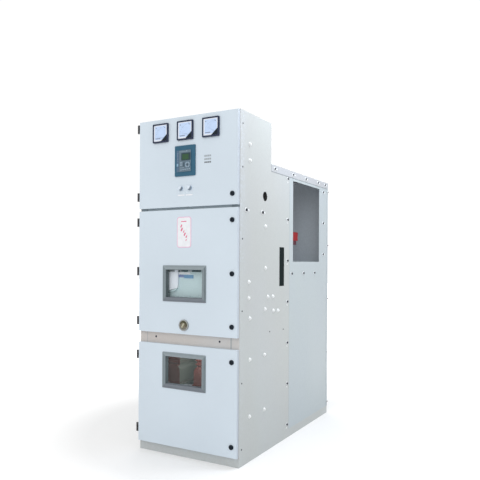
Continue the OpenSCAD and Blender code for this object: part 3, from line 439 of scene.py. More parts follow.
# How far a face looks along an axis, as the share of its normal along it
STRAIGHT = 0.9
MAINLY = 0.7
PARTLY = 0.6
DOWNWARD = -0.5

for name in ("left_post", "right_post"):
    dress_faces(name, STRIP_ZINC, lambda at, normal: normal.y < -STRAIGHT)
# The side faces of the doors take the darker copy of their paint: painted shade
for name in DOORS:
    dress_faces(name, DOOR_SIDE_SHADE, lambda at, normal: abs(normal.x) > STRAIGHT)

WINDOW_BORDER = 0.031
PANE_MARGIN = 0.025


def dress_window(name):
    """Painted highlight on the upper rail, painted shade on the lower rail and on two walls of the pane's
    recess.
    """
    low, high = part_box(name)

    def lit_upper_rail(at, normal):
        return at.z > high.z - WINDOW_BORDER and normal.z > DOWNWARD

    def shaded_lower_rail(at, normal):
        return at.z < low.z + WINDOW_BORDER

    def shaded_recess_walls(at, normal):
        inside = all(low[i] + PANE_MARGIN < at[i] < high[i] - PANE_MARGIN for i in (0, 2))
        return inside and (normal.x > MAINLY or normal.z < -MAINLY)

    dress_faces(name, FRAME_TOP_LIT, lit_upper_rail)
    dress_faces(name, FRAME_LOW_SHADE, shaded_lower_rail)
    dress_faces(name, PANE_RECESS_SHADE, shaded_recess_walls)


dress_window("breaker_window_frame")
dress_window("cable_window_frame")

HUB_R, RECESS_R = 0.0182, 0.0312
RECESS_SLOPE = 0.3
GRIP_OUT = 0.0095


def dress_escutcheon(name):
    """Olive painted shade in the recess, grey painted light on it under a slanted line, brown hub and pale
    grip.
    """
    low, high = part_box(name)
    x, z = (low.x + high.x) / 2, (low.z + high.z) / 2

    def radius(at):
        return math.hypot(at.x - x, at.z - z)

    def recess(at, normal):
        return HUB_R < radius(at) < RECESS_R

    def lit_recess_foot(at, normal):
        return recess(at, normal) and at.z < z - RECESS_SLOPE * (at.x - x)

    dress_faces(name, RECESS_SHADE_OLIVE, recess)
    dress_faces(name, RECESS_LIT_GREY, lit_recess_foot)
    dress_faces(name, HUB_BROWN, lambda at, normal: radius(at) <= HUB_R)
    dress_faces(name, GRIP_PALE, lambda at, normal: at.y < DOOR_FACE - GRIP_OUT)


dress_escutcheon("racking_escutcheon")

# The phase bars behind the contact boxes take the dark maroon: painted shade
BAR_SHADE_START = BOX_BACK + 0.02
# The transformers' flanks that face right take the grey resin: painted shade
dress_faces("instrument_transformers", RESIN_FLANK_SHADE, lambda at, normal: normal.x > PARTLY)
dress_faces("phase_bars", BAR_SHADE_MAROON, lambda at, normal: at.y > BAR_SHADE_START)


def soften(made, width, angle):
    """Rounds the edges of a node or piece that are sharper than an angle in degrees."""
    bevel = made.modifiers.new("soft_edges", "BEVEL")
    bevel.width = width
    bevel.segments = 2
    bevel.limit_method = "ANGLE"
    bevel.angle_limit = math.radians(angle)


for name in ("breaker_window_frame", "cable_window_frame", "meters", "protection_relay"):
    soften(NODES[name], 0.0012, 40)

# Shapes of the added pieces

UP = (0, 0, 1)
FORWARD = (0, -1, 0)
REARWARD = (0, 1, 0)
SMOOTH_BELOW = math.radians(32)


def turn_to(normal):
    """Rotation that takes +Z to the given direction."""
    return Vector(UP).rotation_difference(Vector(normal)).to_matrix().to_4x4()


class Shape:
    """Gathers primitives in one mesh and makes a piece of it."""

    def __init__(self):
        self.bm = bmesh.new()

    def _finish_part(self, verts, place, normal, spin):
        move = Matrix.Translation(Vector(place)) @ turn_to(normal) @ Matrix.Rotation(spin, 4, "Z")
        bmesh.ops.transform(self.bm, matrix=move, verts=verts)

    def revolve(self, place, normal, profile, sides=24, spin=0.0):
        """Solid of revolution from (radius, height) points, closed at both ends."""
        rings = []
        for r, h in profile:
            angles = [2 * math.pi * i / sides for i in range(sides)]
            rings.append([self.bm.verts.new((r * math.cos(a), r * math.sin(a), h)) for a in angles])
        for low, high in zip(rings, rings[1:]):
            for i in range(sides):
                j = (i + 1) % sides
                self.bm.faces.new((low[i], low[j], high[j], high[i]))
        self.bm.faces.new(rings[0][::-1])
        self.bm.faces.new(rings[-1])
        self._finish_part([v for ring in rings for v in ring], place, normal, spin)

    def disc(self, place, normal, r, rim, top_r, height, sides=24):
        """Flat round piece, straight up to the rim and sloped in above it."""
        self.revolve(place, normal, [(r, 0.0), (r, rim), (top_r, height)], sides)

    def prism(self, place, normal, outline, height, spin=0.0):
        """Straight prism on an outline of (x, y) points, or (x, z) points where it looks forward."""
        low = [self.bm.verts.new((x, y, 0.0)) for x, y in outline]
        high = [self.bm.verts.new((x, y, height)) for x, y in outline]
        n = len(outline)
        for i in range(n):
            j = (i + 1) % n
            self.bm.faces.new((low[i], low[j], high[j], high[i]))
        self.bm.faces.new(low[::-1])
        self.bm.faces.new(high)
        self._finish_part(low + high, place, normal, spin)

    def plate(self, place, size, r, thickness, spin=0.0):
        """Plate with round corners that looks forward, with its back at the place."""
        self.prism(place, FORWARD, round_rect_outline(*size, r), thickness, spin)

    def box(self, low, high):
        made = bmesh.ops.create_cube(self.bm, size=1.0)["verts"]
        low, high = Vector(low), Vector(high)
        move = Matrix.Translation((low + high) / 2) @ Matrix.Diagonal((*(high - low), 1.0))
        bmesh.ops.transform(self.bm, matrix=move, verts=made)

    def piece(self, name, mat, body, bevel=0.0, smooth=True, slot=None):
        """Makes an object that rides on a body. The slot is not used."""
        bmesh.ops.recalc_face_normals(self.bm, faces=self.bm.faces)
        mesh = bpy.data.meshes.new(name)
        self.bm.to_mesh(mesh)
        self.bm.free()
        made = bpy.data.objects.new(name, mesh)
        bpy.context.scene.collection.objects.link(made)
        made.data.materials.append(mat)
        if bevel:
            soften(made, bevel, 35)
        if smooth:
            smooth_faces(mesh)
        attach(made, body)
        return made


def smooth_faces(mesh):
    """Smooth shading that keeps the sharp edges."""
    bm = bmesh.new()
    bm.from_mesh(mesh)
    for face in bm.faces:
        face.smooth = True
    for edge in bm.edges:
        edge.smooth = len(edge.link_faces) == 2 and edge.calc_face_angle(0.0) < SMOOTH_BELOW
    bm.to_mesh(mesh)
    bm.free()


def round_rect_outline(w, h, r):
    """Points of a rectangle about the origin with round corners."""
    steps = 5
    points = []
    for cx, cy, start in ((1, 1, 0), (-1, 1, 90), (-1, -1, 180), (1, -1, 270)):
        for i in range(steps + 1):
            a = math.radians(start + 90 * i / steps)
            points.append((cx * (w / 2 - r) + r * math.cos(a), cy * (h / 2 - r) + r * math.sin(a)))
    return points


def hex_bolt(shape, place, normal, across, height, spin):
    """Hexagon head with a chamfered top on a round collar, all in shares of its own size."""
    r = across / math.sqrt(3)
    shape.disc(place, normal, r * 1.22, height * 0.16, r * 1.1, height * 0.24, 20)
    shape.revolve(Vector(place) + Vector(normal) * height * 0.2, normal,
                  [(r, 0.0), (r, height * 0.62), (r * 0.84, height * 0.8)], 6, spin)


def rivet(shape, place, normal, r, height):
    """Round low head."""
    steps = 6
    profile = [(r, 0.0)]
    for i in range(1, steps):
        a = math.pi / 2 * i / steps
        profile.append((r * math.cos(a), height * math.sin(a)))
    profile.append((r * 0.05, height))
    shape.revolve(place, normal, profile, 18)


# Bolts and rivets on the side sheets. Places are (metres behind the door faces, height).

SEAM_BOLTS = [(0.752, 1.945 - 0.307 * i) for i in range(7)]
WALL_BOLTS = [(1.486, 1.924 - 0.267 * i) for i in range(3)]
FLOOR_BOLTS = [(0.831 + 0.230 * i, 1.233) for i in range(3)]
REAR_EDGE_BOLTS = [(1.590, 1.935 - 0.467 * i) for i in range(4)] + [(1.590, 0.100)]
SKIRT_BOLTS = [(0.527, 1.987), (0.846, 1.988), (1.096, 1.987), (1.355, 1.989), (1.522, 1.990)]
BOX_BOLTS = [(0.1055, 1.659), (0.338, 1.660)]
POST_SCREWS = [(0.060, z) for z in (2.213, 1.933, 1.469, 1.002, 0.536, 0.110)]
RIVETS = [
    (0.155, 2.094), (0.156, 1.987), (0.387, 1.567), (0.388, 1.278), (0.148, 1.189), (0.146, 1.082),
    (0.427, 1.077), (0.507, 1.076), (0.385, 0.993), (0.516, 0.974), (0.592, 0.969), (0.162, 0.948),
    (0.379, 0.679), (0.165, 0.675), (0.379, 0.300), (0.165, 0.300),
]
SMALL_RIVETS = [(0.463, 0.829), (0.687, 0.824)]

# Sizes of a bolt are (across its flats, height, radius of its washer)
WALL_BOLT_SIZE = (0.015, 0.010, 0.013)
REAR_EDGE_BOLT_SIZE = (0.011, 0.008, 0.009)
BOX_BOLT_SIZE = (0.017, 0.011, 0.015)
SKIRT_BOLT_SIZE = (0.013, 0.010, 0.013)

# Sizes of a rivet or round screw are (radius, height)
DOME_SIZE = (0.012, 0.013)
# The seam, wall and skirt rivets sit beside bolts as painted highlights of the bolts
SEAM_RIVET_SIZE = (0.007, 0.004)
WALL_RIVET_SIZE = (0.009, 0.005)
SKIRT_RIVET_SIZE = (0.008, 0.004)
SMALL_RIVET_SIZE = (0.005, 0.0025)
POST_SCREW_SIZE = (0.0055, 0.003)

# Washers are (radius, height of the rim, radius on top, height)
WASHER_RIM, WASHER_HEIGHT = 0.002, 0.003
DOME_WASHER = (0.014, 0.0015, 0.013, 0.002)
COVER_WASHER = (0.011, 0.0012, 0.0103, 0.0017)

# How far the bright rivet beside a bolt, a painted highlight of the bolt, lies behind it and below it
BOLT_TO_RIVET = 0.034
BOLT_RIVET_DROP = 0.002
SEAM_RIVET_DROP = 0.026


def fasten_side(side, word):
    """Bolts and rivets of one side of the body, -1 for the left and 1 for the right. The white of the
    washers, the domes and the small rivets beside the bolts is painted glint.
    """
    outward = (side, 0, 0)
    turns = random.Random(7)
    bolts, washers, rivets, screws = Shape(), Shape(), Shape(), Shape()

    def add_bolts(places, x, size):
        across, height, washer_r = size
        for d, z in places:
            place = (side * x, depth(d), z)
            hex_bolt(bolts, place, outward, across, height, turns.uniform(0, 1))
            washers.disc(place, outward, washer_r, WASHER_RIM, washer_r * 0.9, WASHER_HEIGHT)

    def add_rivets(shape, places, x, size, back=0.0, drop=0.0):
        for d, z in places:
            rivet(shape, (side * x, depth(d + back), z - drop), outward, *size)

    add_bolts(SEAM_BOLTS + WALL_BOLTS + FLOOR_BOLTS, SIDE, WALL_BOLT_SIZE)
    add_bolts(REAR_EDGE_BOLTS, SKIRT_SIDE, REAR_EDGE_BOLT_SIZE)
    add_bolts(BOX_BOLTS, SIDE, BOX_BOLT_SIZE)
    add_bolts(SKIRT_BOLTS, SKIRT_SIDE, SKIRT_BOLT_SIZE)
    for d, z in RIVETS:
        washers.disc((side * SIDE, depth(d), z), outward, *DOME_WASHER)
    add_rivets(rivets, RIVETS, SIDE, DOME_SIZE)
    add_rivets(rivets, SEAM_BOLTS, SIDE, SEAM_RIVET_SIZE, drop=SEAM_RIVET_DROP)
    add_rivets(rivets, BOX_BOLTS + WALL_BOLTS, SIDE, WALL_RIVET_SIZE, BOLT_TO_RIVET, BOLT_RIVET_DROP)
    add_rivets(rivets, SKIRT_BOLTS, SKIRT_SIDE, SKIRT_RIVET_SIZE, BOLT_TO_RIVET, BOLT_RIVET_DROP)
    add_rivets(screws, SMALL_RIVETS, SIDE, SMALL_RIVET_SIZE)
    add_rivets(screws, POST_SCREWS, SIDE, POST_SCREW_SIZE)
    bolts.piece(f"{word}_side_bolts", BOLT_DARK, "cabinet")
    washers.piece(f"{word}_side_washer_glints", GLINT_WHITE, "cabinet")
    rivets.piece(f"{word}_side_rivet_glints", GLINT_WHITE, "cabinet")
    screws.piece(f"{word}_side_screws", BOLT_DARK, "cabinet")


fasten_side(1, "right")
fasten_side(-1, "left")

# Bolts of the roof, the relief flaps and the rear covers. Sizes are (across or radius, height).

SHEET_BOLT_SIZE = (0.010, 0.006)
ROOF_EDGE_X = 0.377
ROOF_DOME_SIZE = (0.014, 0.018)
FLAP_BOLT_PITCH = 0.16
FLAP_BOLT_START = 0.05
FLAP_BOLT_INSET = 0.012
FLAP_BOLT_SIZE = (0.007, 0.005)
BOX_ROOF_X = (-0.36, -0.12, 0.12, 0.36)
BOX_ROOF_INSET = 0.02
COVER_BOLT_PITCH = 0.30
COVER_SIDE_X = 0.383
COVER_MIDDLE_X = (-0.19, 0.0, 0.19)
COVER_FOOT = 0.03
COVER_HEAD = 0.045


def roof_bolts():
    domes, bolts = Shape(), Shape()
    turns = random.Random(11)
    for side in (-1, 1):
        for d, _ in SKIRT_BOLTS:
            rivet(domes, (side * ROOF_EDGE_X, depth(d), REAR_ROOF_TOP), UP, *ROOF_DOME_SIZE)
    low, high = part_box("relief_flaps")
    for side in (-1, 1):
        for i in range(int((high.y - low.y) / FLAP_BOLT_PITCH)):
            y = low.y + FLAP_BOLT_START + i * FLAP_BOLT_PITCH
            rivet(bolts, (side * (high.x - FLAP_BOLT_INSET), y, high.z), UP, *FLAP_BOLT_SIZE)
    low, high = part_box("instrument_roof")
    for x in BOX_ROOF_X:
        for y in (low.y + BOX_ROOF_INSET, high.y - BOX_ROOF_INSET):
            hex_bolt(bolts, (x, y, high.z), UP, *SHEET_BOLT_SIZE, turns.uniform(0, 1))
    # The domes on the roof's edge are white: painted glint
    domes.piece("roof_edge_bolts", GLINT_WHITE, "cabinet")
    bolts.piece("roof_bolts", ZINC_BRIGHT, "cabinet")


def rear_bolts():
    bolts, washers = Shape(), Shape()
    turns = random.Random(12)
    low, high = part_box("rear_covers")
    bottom, top = low.z + COVER_FOOT, high.z - COVER_HEAD
    rows = int((high.z - low.z) / COVER_BOLT_PITCH)
    places = [(side * COVER_SIDE_X, bottom + i * (top - bottom) / rows)
              for side in (-1, 1) for i in range(rows + 1)]
    places += [(x, z) for x in COVER_MIDDLE_X for z in (bottom, top)]
    for x, z in places:
        hex_bolt(bolts, (x, REAR_FACE, z), REARWARD, *SHEET_BOLT_SIZE, turns.uniform(0, 1))
        washers.disc((x, REAR_FACE, z), REARWARD, *COVER_WASHER)
    bolts.piece("rear_cover_bolts", BOLT_DARK, "cabinet")
    washers.piece("rear_cover_washers", ZINC_BRIGHT, "cabinet")


roof_bolts()
rear_bolts()

# Screws of the strip above the lowest door, painted shade behind the upper door gap and the wiring slots,
# seam lines and a painted shadow under the skirt

STRIP_SCREW_X = (-0.264, 0.2525)
STRIP_SCREW_Z = 0.799
STRIP_SCREW_SIZE = (0.0075, 0.0035)


def strip_screws():
    shape = Shape()
    for x in STRIP_SCREW_X:
        rivet(shape, (x, POST_FRONT, STRIP_SCREW_Z), FORWARD, *STRIP_SCREW_SIZE)
    shape.piece("strip_screws", BOLT_DARK, "cabinet")


def gap_shade_strips():
    """Thin grey strips on the posts behind the gap between the two upper doors: painted shade in the gap.
    """
    lap, inset, thickness = 0.012, 0.0005, 0.0008
    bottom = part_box("breaker_door")[1].z - lap
    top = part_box("instrument_door")[0].z + lap
    shape = Shape()
    for post in ("left_post", "right_post"):
        low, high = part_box(post)
        shape.box((low.x + inset, low.y - thickness, bottom), (high.x - inset, low.y, top))
    shape.piece("gap_shade_strips", GAP_SHADE, "cabinet", smooth=False)


def side_box(shape, side, x0, x1, low, high):
    """Box between two widths on one side of the body, from one (y, z) corner to another."""
    near, far = sorted((side * x0, side * x1))
    shape.box((near, *low), (far, *high))


def slot_shade_sheets():
    """Dark sheets with a slit behind the wiring slots: painted shade of the compartment behind them."""
    front, back, bottom, top = depth(0.616), depth(0.699), 1.144, 1.429
    lap, half_slit, outer, inner = 0.012, 0.0006, SIDE - 0.0022, SIDE - 0.0052
    middle = (front + back) / 2
    for side, word in ((-1, "left"), (1, "right")):
        shape = Shape()
        for y0, y1 in ((front - lap, middle - half_slit), (middle + half_slit, back + lap)):
            side_box(shape, side, inner, outer, (y0, bottom - lap), (y1, top + lap))
        shape.piece(f"{word}_slot_shade", GASKET_AND_SLOT_SHADE, "cabinet", bevel=0.0005)


def seams_and_skirt_shadow():
    """Sealed joints between the side sheets and beside the strip, and a painted shadow under the rear
    roof's skirt.
    """
    half, proud, skirt_shadow_proud, skirt_shadow_height = 0.0008, 0.0002, 0.0008, 0.004
    skirt_front, skirt_rear, strip_left, strip_right = 0.002, 0.004, 0.003, 0.007
    shape = Shape()
    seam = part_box("right_rear_wall")[0]
    roof_low, roof_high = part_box("rear_roof")
    for side in (-1, 1):
        side_box(shape, side, SIDE, SIDE + proud, (seam.y - half, seam.z), (seam.y + half, roof_low.z))
        side_box(shape, side, SIDE, SIDE + skirt_shadow_proud,
                 (roof_low.y + skirt_front, roof_low.z - skirt_shadow_height),
                 (roof_high.y - skirt_rear, roof_low.z))
    low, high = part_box("cross_strip")
    for x, width in ((low.x, strip_left), (high.x, strip_right)):
        shape.box((x - width / 2, low.y - proud, low.z), (x + width / 2, low.y, high.z))
    shape.piece("seams_and_skirt_shadow", SEAM_AND_SHADOW_GREY, "cabinet", smooth=False)


strip_screws()
gap_shade_strips()
slot_shade_sheets()
seams_and_skirt_shadow()

# Meters

METER_FACE_INSET = 0.009
METER_SUNK = 0.003
meter_low, meter_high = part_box("meters")
METER_Z = (meter_low.z + meter_high.z) / 2
METER_SIDE = meter_high.z - meter_low.z
METER_PITCH = (meter_high.x - meter_low.x - METER_SIDE) / 2
FACE_SIDE = METER_SIDE - 2 * METER_FACE_INSET
HALF_FACE = FACE_SIDE / 2
GROUND_Y = meter_low.y + METER_SUNK
GROUND_SIDE = FACE_SIDE - 0.001
GROUND_T = 0.0006
DIAL_SIDE = FACE_SIDE - 0.017
DIAL_Y = GROUND_Y - GROUND_T
DIAL_T = 0.0003
MARK_Y = DIAL_Y - DIAL_T
MARK_T = 0.0003

# The needles point away from a pivot under the corner cover, and the scale is an arc round it
PIVOT_OUT = HALF_FACE * 0.62
SCALE_R = FACE_SIDE * 0.66
SCALE_START = 92
SCALE_SWEEP = 88
SCALE_STEPS = 40
SCALE_T = 0.0002
NEEDLE_LIFT = 0.001
NEEDLE_T = 0.0005
NEEDLE_HALF_W = 0.0007
CORNER_T = 0.0022
CORNER_W = FACE_SIDE * 0.44
CORNER_H = FACE_SIDE * 0.39


def ray(degrees):
    """Direction in (x, z) of an angle, and the direction across it."""
    a = math.radians(degrees)
    return Vector((math.cos(a), math.sin(a))), Vector((-math.sin(a), math.cos(a)))


def scale_mark(step):
    """Corners of one mark of the scale, longer at every fifth and wider at every tenth."""
    along, across = ray(SCALE_START + SCALE_SWEEP * step / SCALE_STEPS)
    major = step % 10 == 0
    length = 0.007 if major else (0.005 if step % 5 == 0 else 0.003)
    half = across * (0.0004 if major else 0.0002)
    foot, head = along * SCALE_R, along * (SCALE_R + length)
    return [foot - half, foot + half, head + half, head - half]


def meter_fronts():
    """Dial, scale, needle and corner cover of the three meters."""
    grounds, dials, marks, corners, needles, bars = (Shape() for _ in range(6))
    edge = HALF_FACE - 0.0005
    corner = [(edge, -edge), (edge, CORNER_H - HALF_FACE), (HALF_FACE - CORNER_W, -edge)]
    for i in (-1, 0, 1):
        x = INSTRUMENT_X + i * METER_PITCH
        grounds.plate((x, GROUND_Y, METER_Z), (GROUND_SIDE, GROUND_SIDE), 0.003, GROUND_T)
        dials.plate((x + 0.001, DIAL_Y, METER_Z + 0.002), (DIAL_SIDE, DIAL_SIDE), 0.004, DIAL_T)
        place = (x - HALF_FACE * 0.36, MARK_Y, METER_Z - HALF_FACE * 0.66)
        bars.plate(place, (0.040, 0.005), 0.001, MARK_T)
        for side in (-1, 1):
            place = (x + side * HALF_FACE * 0.66, MARK_Y, METER_Z + HALF_FACE * 0.66)
            bars.plate(place, (0.006, 0.006), 0.001, MARK_T)
        pivot = Vector((x + PIVOT_OUT, MARK_Y, METER_Z - PIVOT_OUT))
        for step in range(SCALE_STEPS + 1):
            marks.prism(pivot, FORWARD, scale_mark(step), SCALE_T)
        corners.prism((x, MARK_Y, METER_Z), FORWARD, corner, CORNER_T)
        along, across = ray(176 - 14 * (i + 1))
        half = across * NEEDLE_HALF_W
        needle = [-half, half, along * (SCALE_R - 0.002)]
        needles.prism(pivot + Vector(FORWARD) * NEEDLE_LIFT, FORWARD, needle, NEEDLE_T)
    grounds.piece("meter_grounds", DIAL_WHITE, "upper_door", smooth=False)
    dials.piece("meter_dials", DIAL, "upper_door", smooth=False)
    marks.piece("meter_scales", INK, "upper_door", smooth=False)
    bars.piece("meter_marks", INK, "upper_door", smooth=False)
    corners.piece("meter_corner_covers", METER_DARK, "upper_door", bevel=0.0006, slot="meter_black")
    needles.piece("meter_needles", INK, "upper_door", smooth=False)


meter_fronts()

# Protection relay. Places on it are (across, up) from its middle.

RELAY_Z = (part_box("protection_relay")[0].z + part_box("protection_relay")[1].z) / 2
BEZEL_Y = DOOR_FACE - 0.008
STRIP_T = 0.0022
STRIP_Y = BEZEL_Y - STRIP_T
PANEL_Y = DOOR_FACE - 0.011
PANEL_T = 0.0006
FACE_Y = PANEL_Y - PANEL_T
DISPLAY_FRAME_T = 0.0012
RING_PLACE = (0.025, -0.029)
RING_TOP_Y = DOOR_FACE - 0.0138
ARROW_Y = DOOR_FACE - 0.0142
ARROW_OUT = 0.0165
ARROW_R = 0.0035

# Each piece of the relay's front has its material, its bevel, and whether it is smooth
RELAY_PIECES = {
    "panel": (RELAY_GREY, 0.0003, True),
    "lamp_strip": (RELAY_STRIP, 0.0003, True),
    "lamp": (RELAY_LAMP, 0.0002, True),
    "display": (DISPLAY, 0.0, True),
    "keys": (KEY_GREY, 0.0003, True),
    "display_frame": (RELAY_DARK, 0.0, True),
    "marks": (RELAY_SHADE, 0.0, True),
    "lines": (KEY_GREY, 0.0, False),
}


def relay_front():
    """Grey panel, display, ring key, key rows and lamps on the relay's bezel."""
    shapes = {word: Shape() for word in RELAY_PIECES}

    def flat(word, place, size, r, thickness, y=FACE_Y):
        shapes[word].plate((INSTRUMENT_X + place[0], y, RELAY_Z + place[1]), size, r, thickness)

    flat("panel", (0.003, -0.002), (0.096, 0.144), 0.004, PANEL_T, PANEL_Y)
    flat("lamp_strip", (-0.0565, -0.002), (0.0185, 0.144), 0.002, STRIP_T, BEZEL_Y)
    flat("lamp", (-0.058, -0.027), (0.012, 0.018), 0.002, 0.0008, STRIP_Y)
    flat("lines", (-0.010, 0.0605), (0.066, 0.0025), 0.0008, 0.0004)
    flat("lines", (0.018, 0.0645), (0.008, 0.005), 0.001, 0.0004)
    flat("display_frame", (0.011, 0.026), (0.074, 0.050), 0.003, DISPLAY_FRAME_T)
    flat("display", (0.0085, 0.024), (0.050, 0.036), 0.002, 0.0008, FACE_Y - DISPLAY_FRAME_T)
    for i in range(5):
        flat("keys", (-0.026 + i * 0.0165, -0.062 + i * 0.0012), (0.012, 0.008), 0.002, 0.0026)
    for i in range(3):
        flat("keys", (-0.030 + i * 0.011, -0.048), (0.008, 0.006), 0.002, 0.0022)
    for i in range(2):
        flat("keys", (-0.026, -0.014 - i * 0.015), (0.018, 0.010), 0.002, 0.0022)
    flat("marks", (-0.006, -0.026), (0.010, 0.028), 0.0045, 0.0026)
    for i in range(6):
        place = (INSTRUMENT_X - 0.0565, STRIP_Y, RELAY_Z + 0.050 - i * 0.010)
        shapes["keys"].disc(place, FORWARD, 0.0022, 0.001, 0.0012, 0.002, 14)
    ring_x, ring_z = INSTRUMENT_X + RING_PLACE[0], RELAY_Z + RING_PLACE[1]
    for quarter in (0, 90, 180, 270):
        out = ray(quarter)[0] * ARROW_OUT
        arrow = [ray(quarter + turn)[0] * ARROW_R for turn in (0, 120, 240)]
        shapes["marks"].prism((ring_x + out.x, ARROW_Y, ring_z + out.y), FORWARD, arrow, 0.0006)
    shapes["lines"].disc((ring_x, RING_TOP_Y, ring_z), FORWARD, 0.0205, 0.0003, 0.020, 0.0004, 40)
    shapes["marks"].disc((ring_x, FACE_Y, ring_z), FORWARD, 0.009, 0.004, 0.007, 0.005)
    for word, (mat, bevel, smooth) in RELAY_PIECES.items():
        shapes[word].piece(f"relay_{word}", mat, "upper_door", bevel=bevel, smooth=smooth)


relay_front()

# Slotted plate beside the relay, label plates, caps of the push buttons and notice plate

SLOTS_X, SLOTS_Z = 0.150, 2.014
SLOT_PITCH = (0.0135, 0.021)
SLOT_COLUMNS = 4
SLOT_ROWS = [(0.0115, 0.012), (0.0115, 0.012), (0.0115, 0.010)]
LABEL_X = (-0.040, 0.025)
LABEL_Z = 1.7655
LABEL_SIZE = (0.054, 0.008)
COLLAR_FACE = DOOR_FACE - 0.0062
CAP_PROFILE = [(0.0160, 0.0), (0.0160, 0.004), (0.0150, 0.0085), (0.0125, 0.0112),
               (0.0085, 0.0128), (0.003, 0.0134)]
CAP_SHADED_SIDE = (0.75, 0, -0.66)
CAP_SHADED_LEAST = 0.22


def shade_side(made, mat, direction, least):
    """Gives a second material to the faces of a piece that look in a direction."""
    made.data.materials.append(mat)
    for face in made.data.polygons:
        if face.normal.dot(Vector(direction)) > least:
            face.material_index = 1


def door_plates():
    """Slotted plate, label plates and the caps of the push buttons."""
    slots, shaded, labels, caps = Shape(), Shape(), Shape(), Shape()
    for row, size in enumerate(SLOT_ROWS):
        shape = shaded if row == len(SLOT_ROWS) - 1 else slots
        for column in range(SLOT_COLUMNS):
            place = (SLOTS_X + SLOT_PITCH[0] * column, DOOR_FACE, SLOTS_Z - SLOT_PITCH[1] * row)
            shape.plate(place, size, 0.001, 0.0008)
    for x in LABEL_X:
        labels.plate((x, DOOR_FACE, LABEL_Z), LABEL_SIZE, 0.001, 0.001)
    low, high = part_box("push_buttons")
    radius = (high.z - low.z) / 2
    for side in (-1, 1):
        x = INSTRUMENT_X + side * ((high.x - low.x) / 2 - radius)
        caps.revolve((x, COLLAR_FACE, (low.z + high.z) / 2), FORWARD, CAP_PROFILE, 32)
    slots.piece("slotted_plate", SLOT_GREY, "upper_door", bevel=0.0002)
    shaded.piece("slotted_plate_row", SLOT_DARK, "upper_door", bevel=0.0002)
    labels.piece("button_labels", PLATE_WHITE, "upper_door", bevel=0.0002)
    made = caps.piece("button_caps", BUTTON_PALE, "upper_door", slot="button_chrome")
    shade_side(made, BUTTON_SHADE, CAP_SHADED_SIDE, CAP_SHADED_LEAST)


NOTICE_X, NOTICE_Z = -0.0145, 1.517
NOTICE_W, NOTICE_H = 0.115, 0.206
NOTICE_MARGIN = 0.005
BORDER_T = 0.0010
GROUND_PLATE_T = 0.0004
MOTIF_T = 0.0003
LOZENGE_TILT = math.radians(-28)

# Lozenges are (across and up from the middle of the plate, size)
LOZENGES = [(-0.022, 0.042, 0.013), (-0.018, 0.018, 0.015), (-0.002, 0.004, 0.010),
            (0.006, -0.014, 0.014), (0.020, -0.030, 0.011), (0.018, -0.052, 0.008)]


def notice_plate():
    """Bare white plate with a pink outline and a plain pattern of pink lozenges."""
    border, ground, motif = Shape(), Shape(), Shape()
    border.plate((NOTICE_X, DOOR_FACE, NOTICE_Z), (NOTICE_W, NOTICE_H), 0.018, BORDER_T)
    inside = (NOTICE_W - 2 * NOTICE_MARGIN, NOTICE_H - 2 * NOTICE_MARGIN)
    ground.plate((NOTICE_X, DOOR_FACE - BORDER_T, NOTICE_Z), inside, 0.014, GROUND_PLATE_T)
    face = DOOR_FACE - BORDER_T - GROUND_PLATE_T
    for dx, dz, size in LOZENGES:
        place = (NOTICE_X + dx, face, NOTICE_Z + dz)
        motif.plate(place, (size * 0.75, size * 1.7), size * 0.35, MOTIF_T, LOZENGE_TILT)
    motif.plate((NOTICE_X - 0.002, face, NOTICE_Z + 0.072), (0.044, 0.006), 0.0025, MOTIF_T)
    border.piece("notice_border", PLATE_PINK, "middle_door", bevel=0.0003)
    ground.piece("notice_ground", PLATE_WHITE, "middle_door", bevel=0.0002)
    motif.piece("notice_motif", PLATE_ROSE, "middle_door", smooth=False)


door_plates()
notice_plate()

# Details of the breaker truck's front, seen through the window and with the door open

HANDLE_REACH = 0.038
PLUG_DEPTH = 0.014
PANEL_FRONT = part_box("truck_panel")[0].y + HANDLE_REACH
PLUG_FRONT = PANEL_FRONT - PLUG_DEPTH
PLUG_RIGHT = -0.092
PLUG_BOTTOM = 1.0
LABEL_TILT = math.radians(-0.5)
LABEL_T = 0.0012
VIOLET_PLACE, VIOLET_SIZE = (-0.078, 1.2215), (0.058, 0.019)
BLUE_PLACE, BLUE_SIZE = (-0.0105, 1.2180), (0.077, 0.024)
MARGIN_PLACE, MARGIN_SIZE = (-0.045, 1.240), (0.094, 0.014)

# Outline of the painted shadow under the slanted line of the plug cover, in (x, z)
COVER_EDGE_SHADOW = [(-0.205, 1.1075), (-0.175, 1.1110), (-0.145, 1.1225), (-0.100, 1.1385),
          (-0.145, 1.1275), (-0.205, 1.1140)]
COVER_EDGE_SHADOW_T = 0.0012

# Plates in a row along the top of the window are (left end, right end, tone), with the tones from dark to
# pale
TOP_ROW_PLATES = [(-0.2015, -0.182, 0), (-0.1164, -0.0850, 0), (-0.0633, -0.0160, 0), (0.0160, 0.0905, 0),
           (-0.1800, -0.1180, 1), (-0.0840, -0.0645, 1), (-0.0146, 0.0148, 2)]
TOP_ROW_TONES = {"dark": RELAY_DARK, "middle": SLOT_DARK, "pale": SLOT_GREY}
TOP_ROW_Z = 1.2585
TOP_ROW_H = 0.017

# Controls in a row below the window
CONTROL_Z = 0.995
INDICATOR_X = [0.03 + 0.055 * i for i in range(3)]
INDICATOR_SIZE = (0.036, 0.024)
INDICATOR_SCREW_OUT = 0.022
CONTROL_BUTTON = (0.013, 0.008, 0.011, 0.010)
OFF_BUTTON_X, ON_BUTTON_X = -0.16, -0.11


def on_plug_cover(at, normal):
    return at.y < PANEL_FRONT - 0.001 and at.z > PLUG_BOTTOM


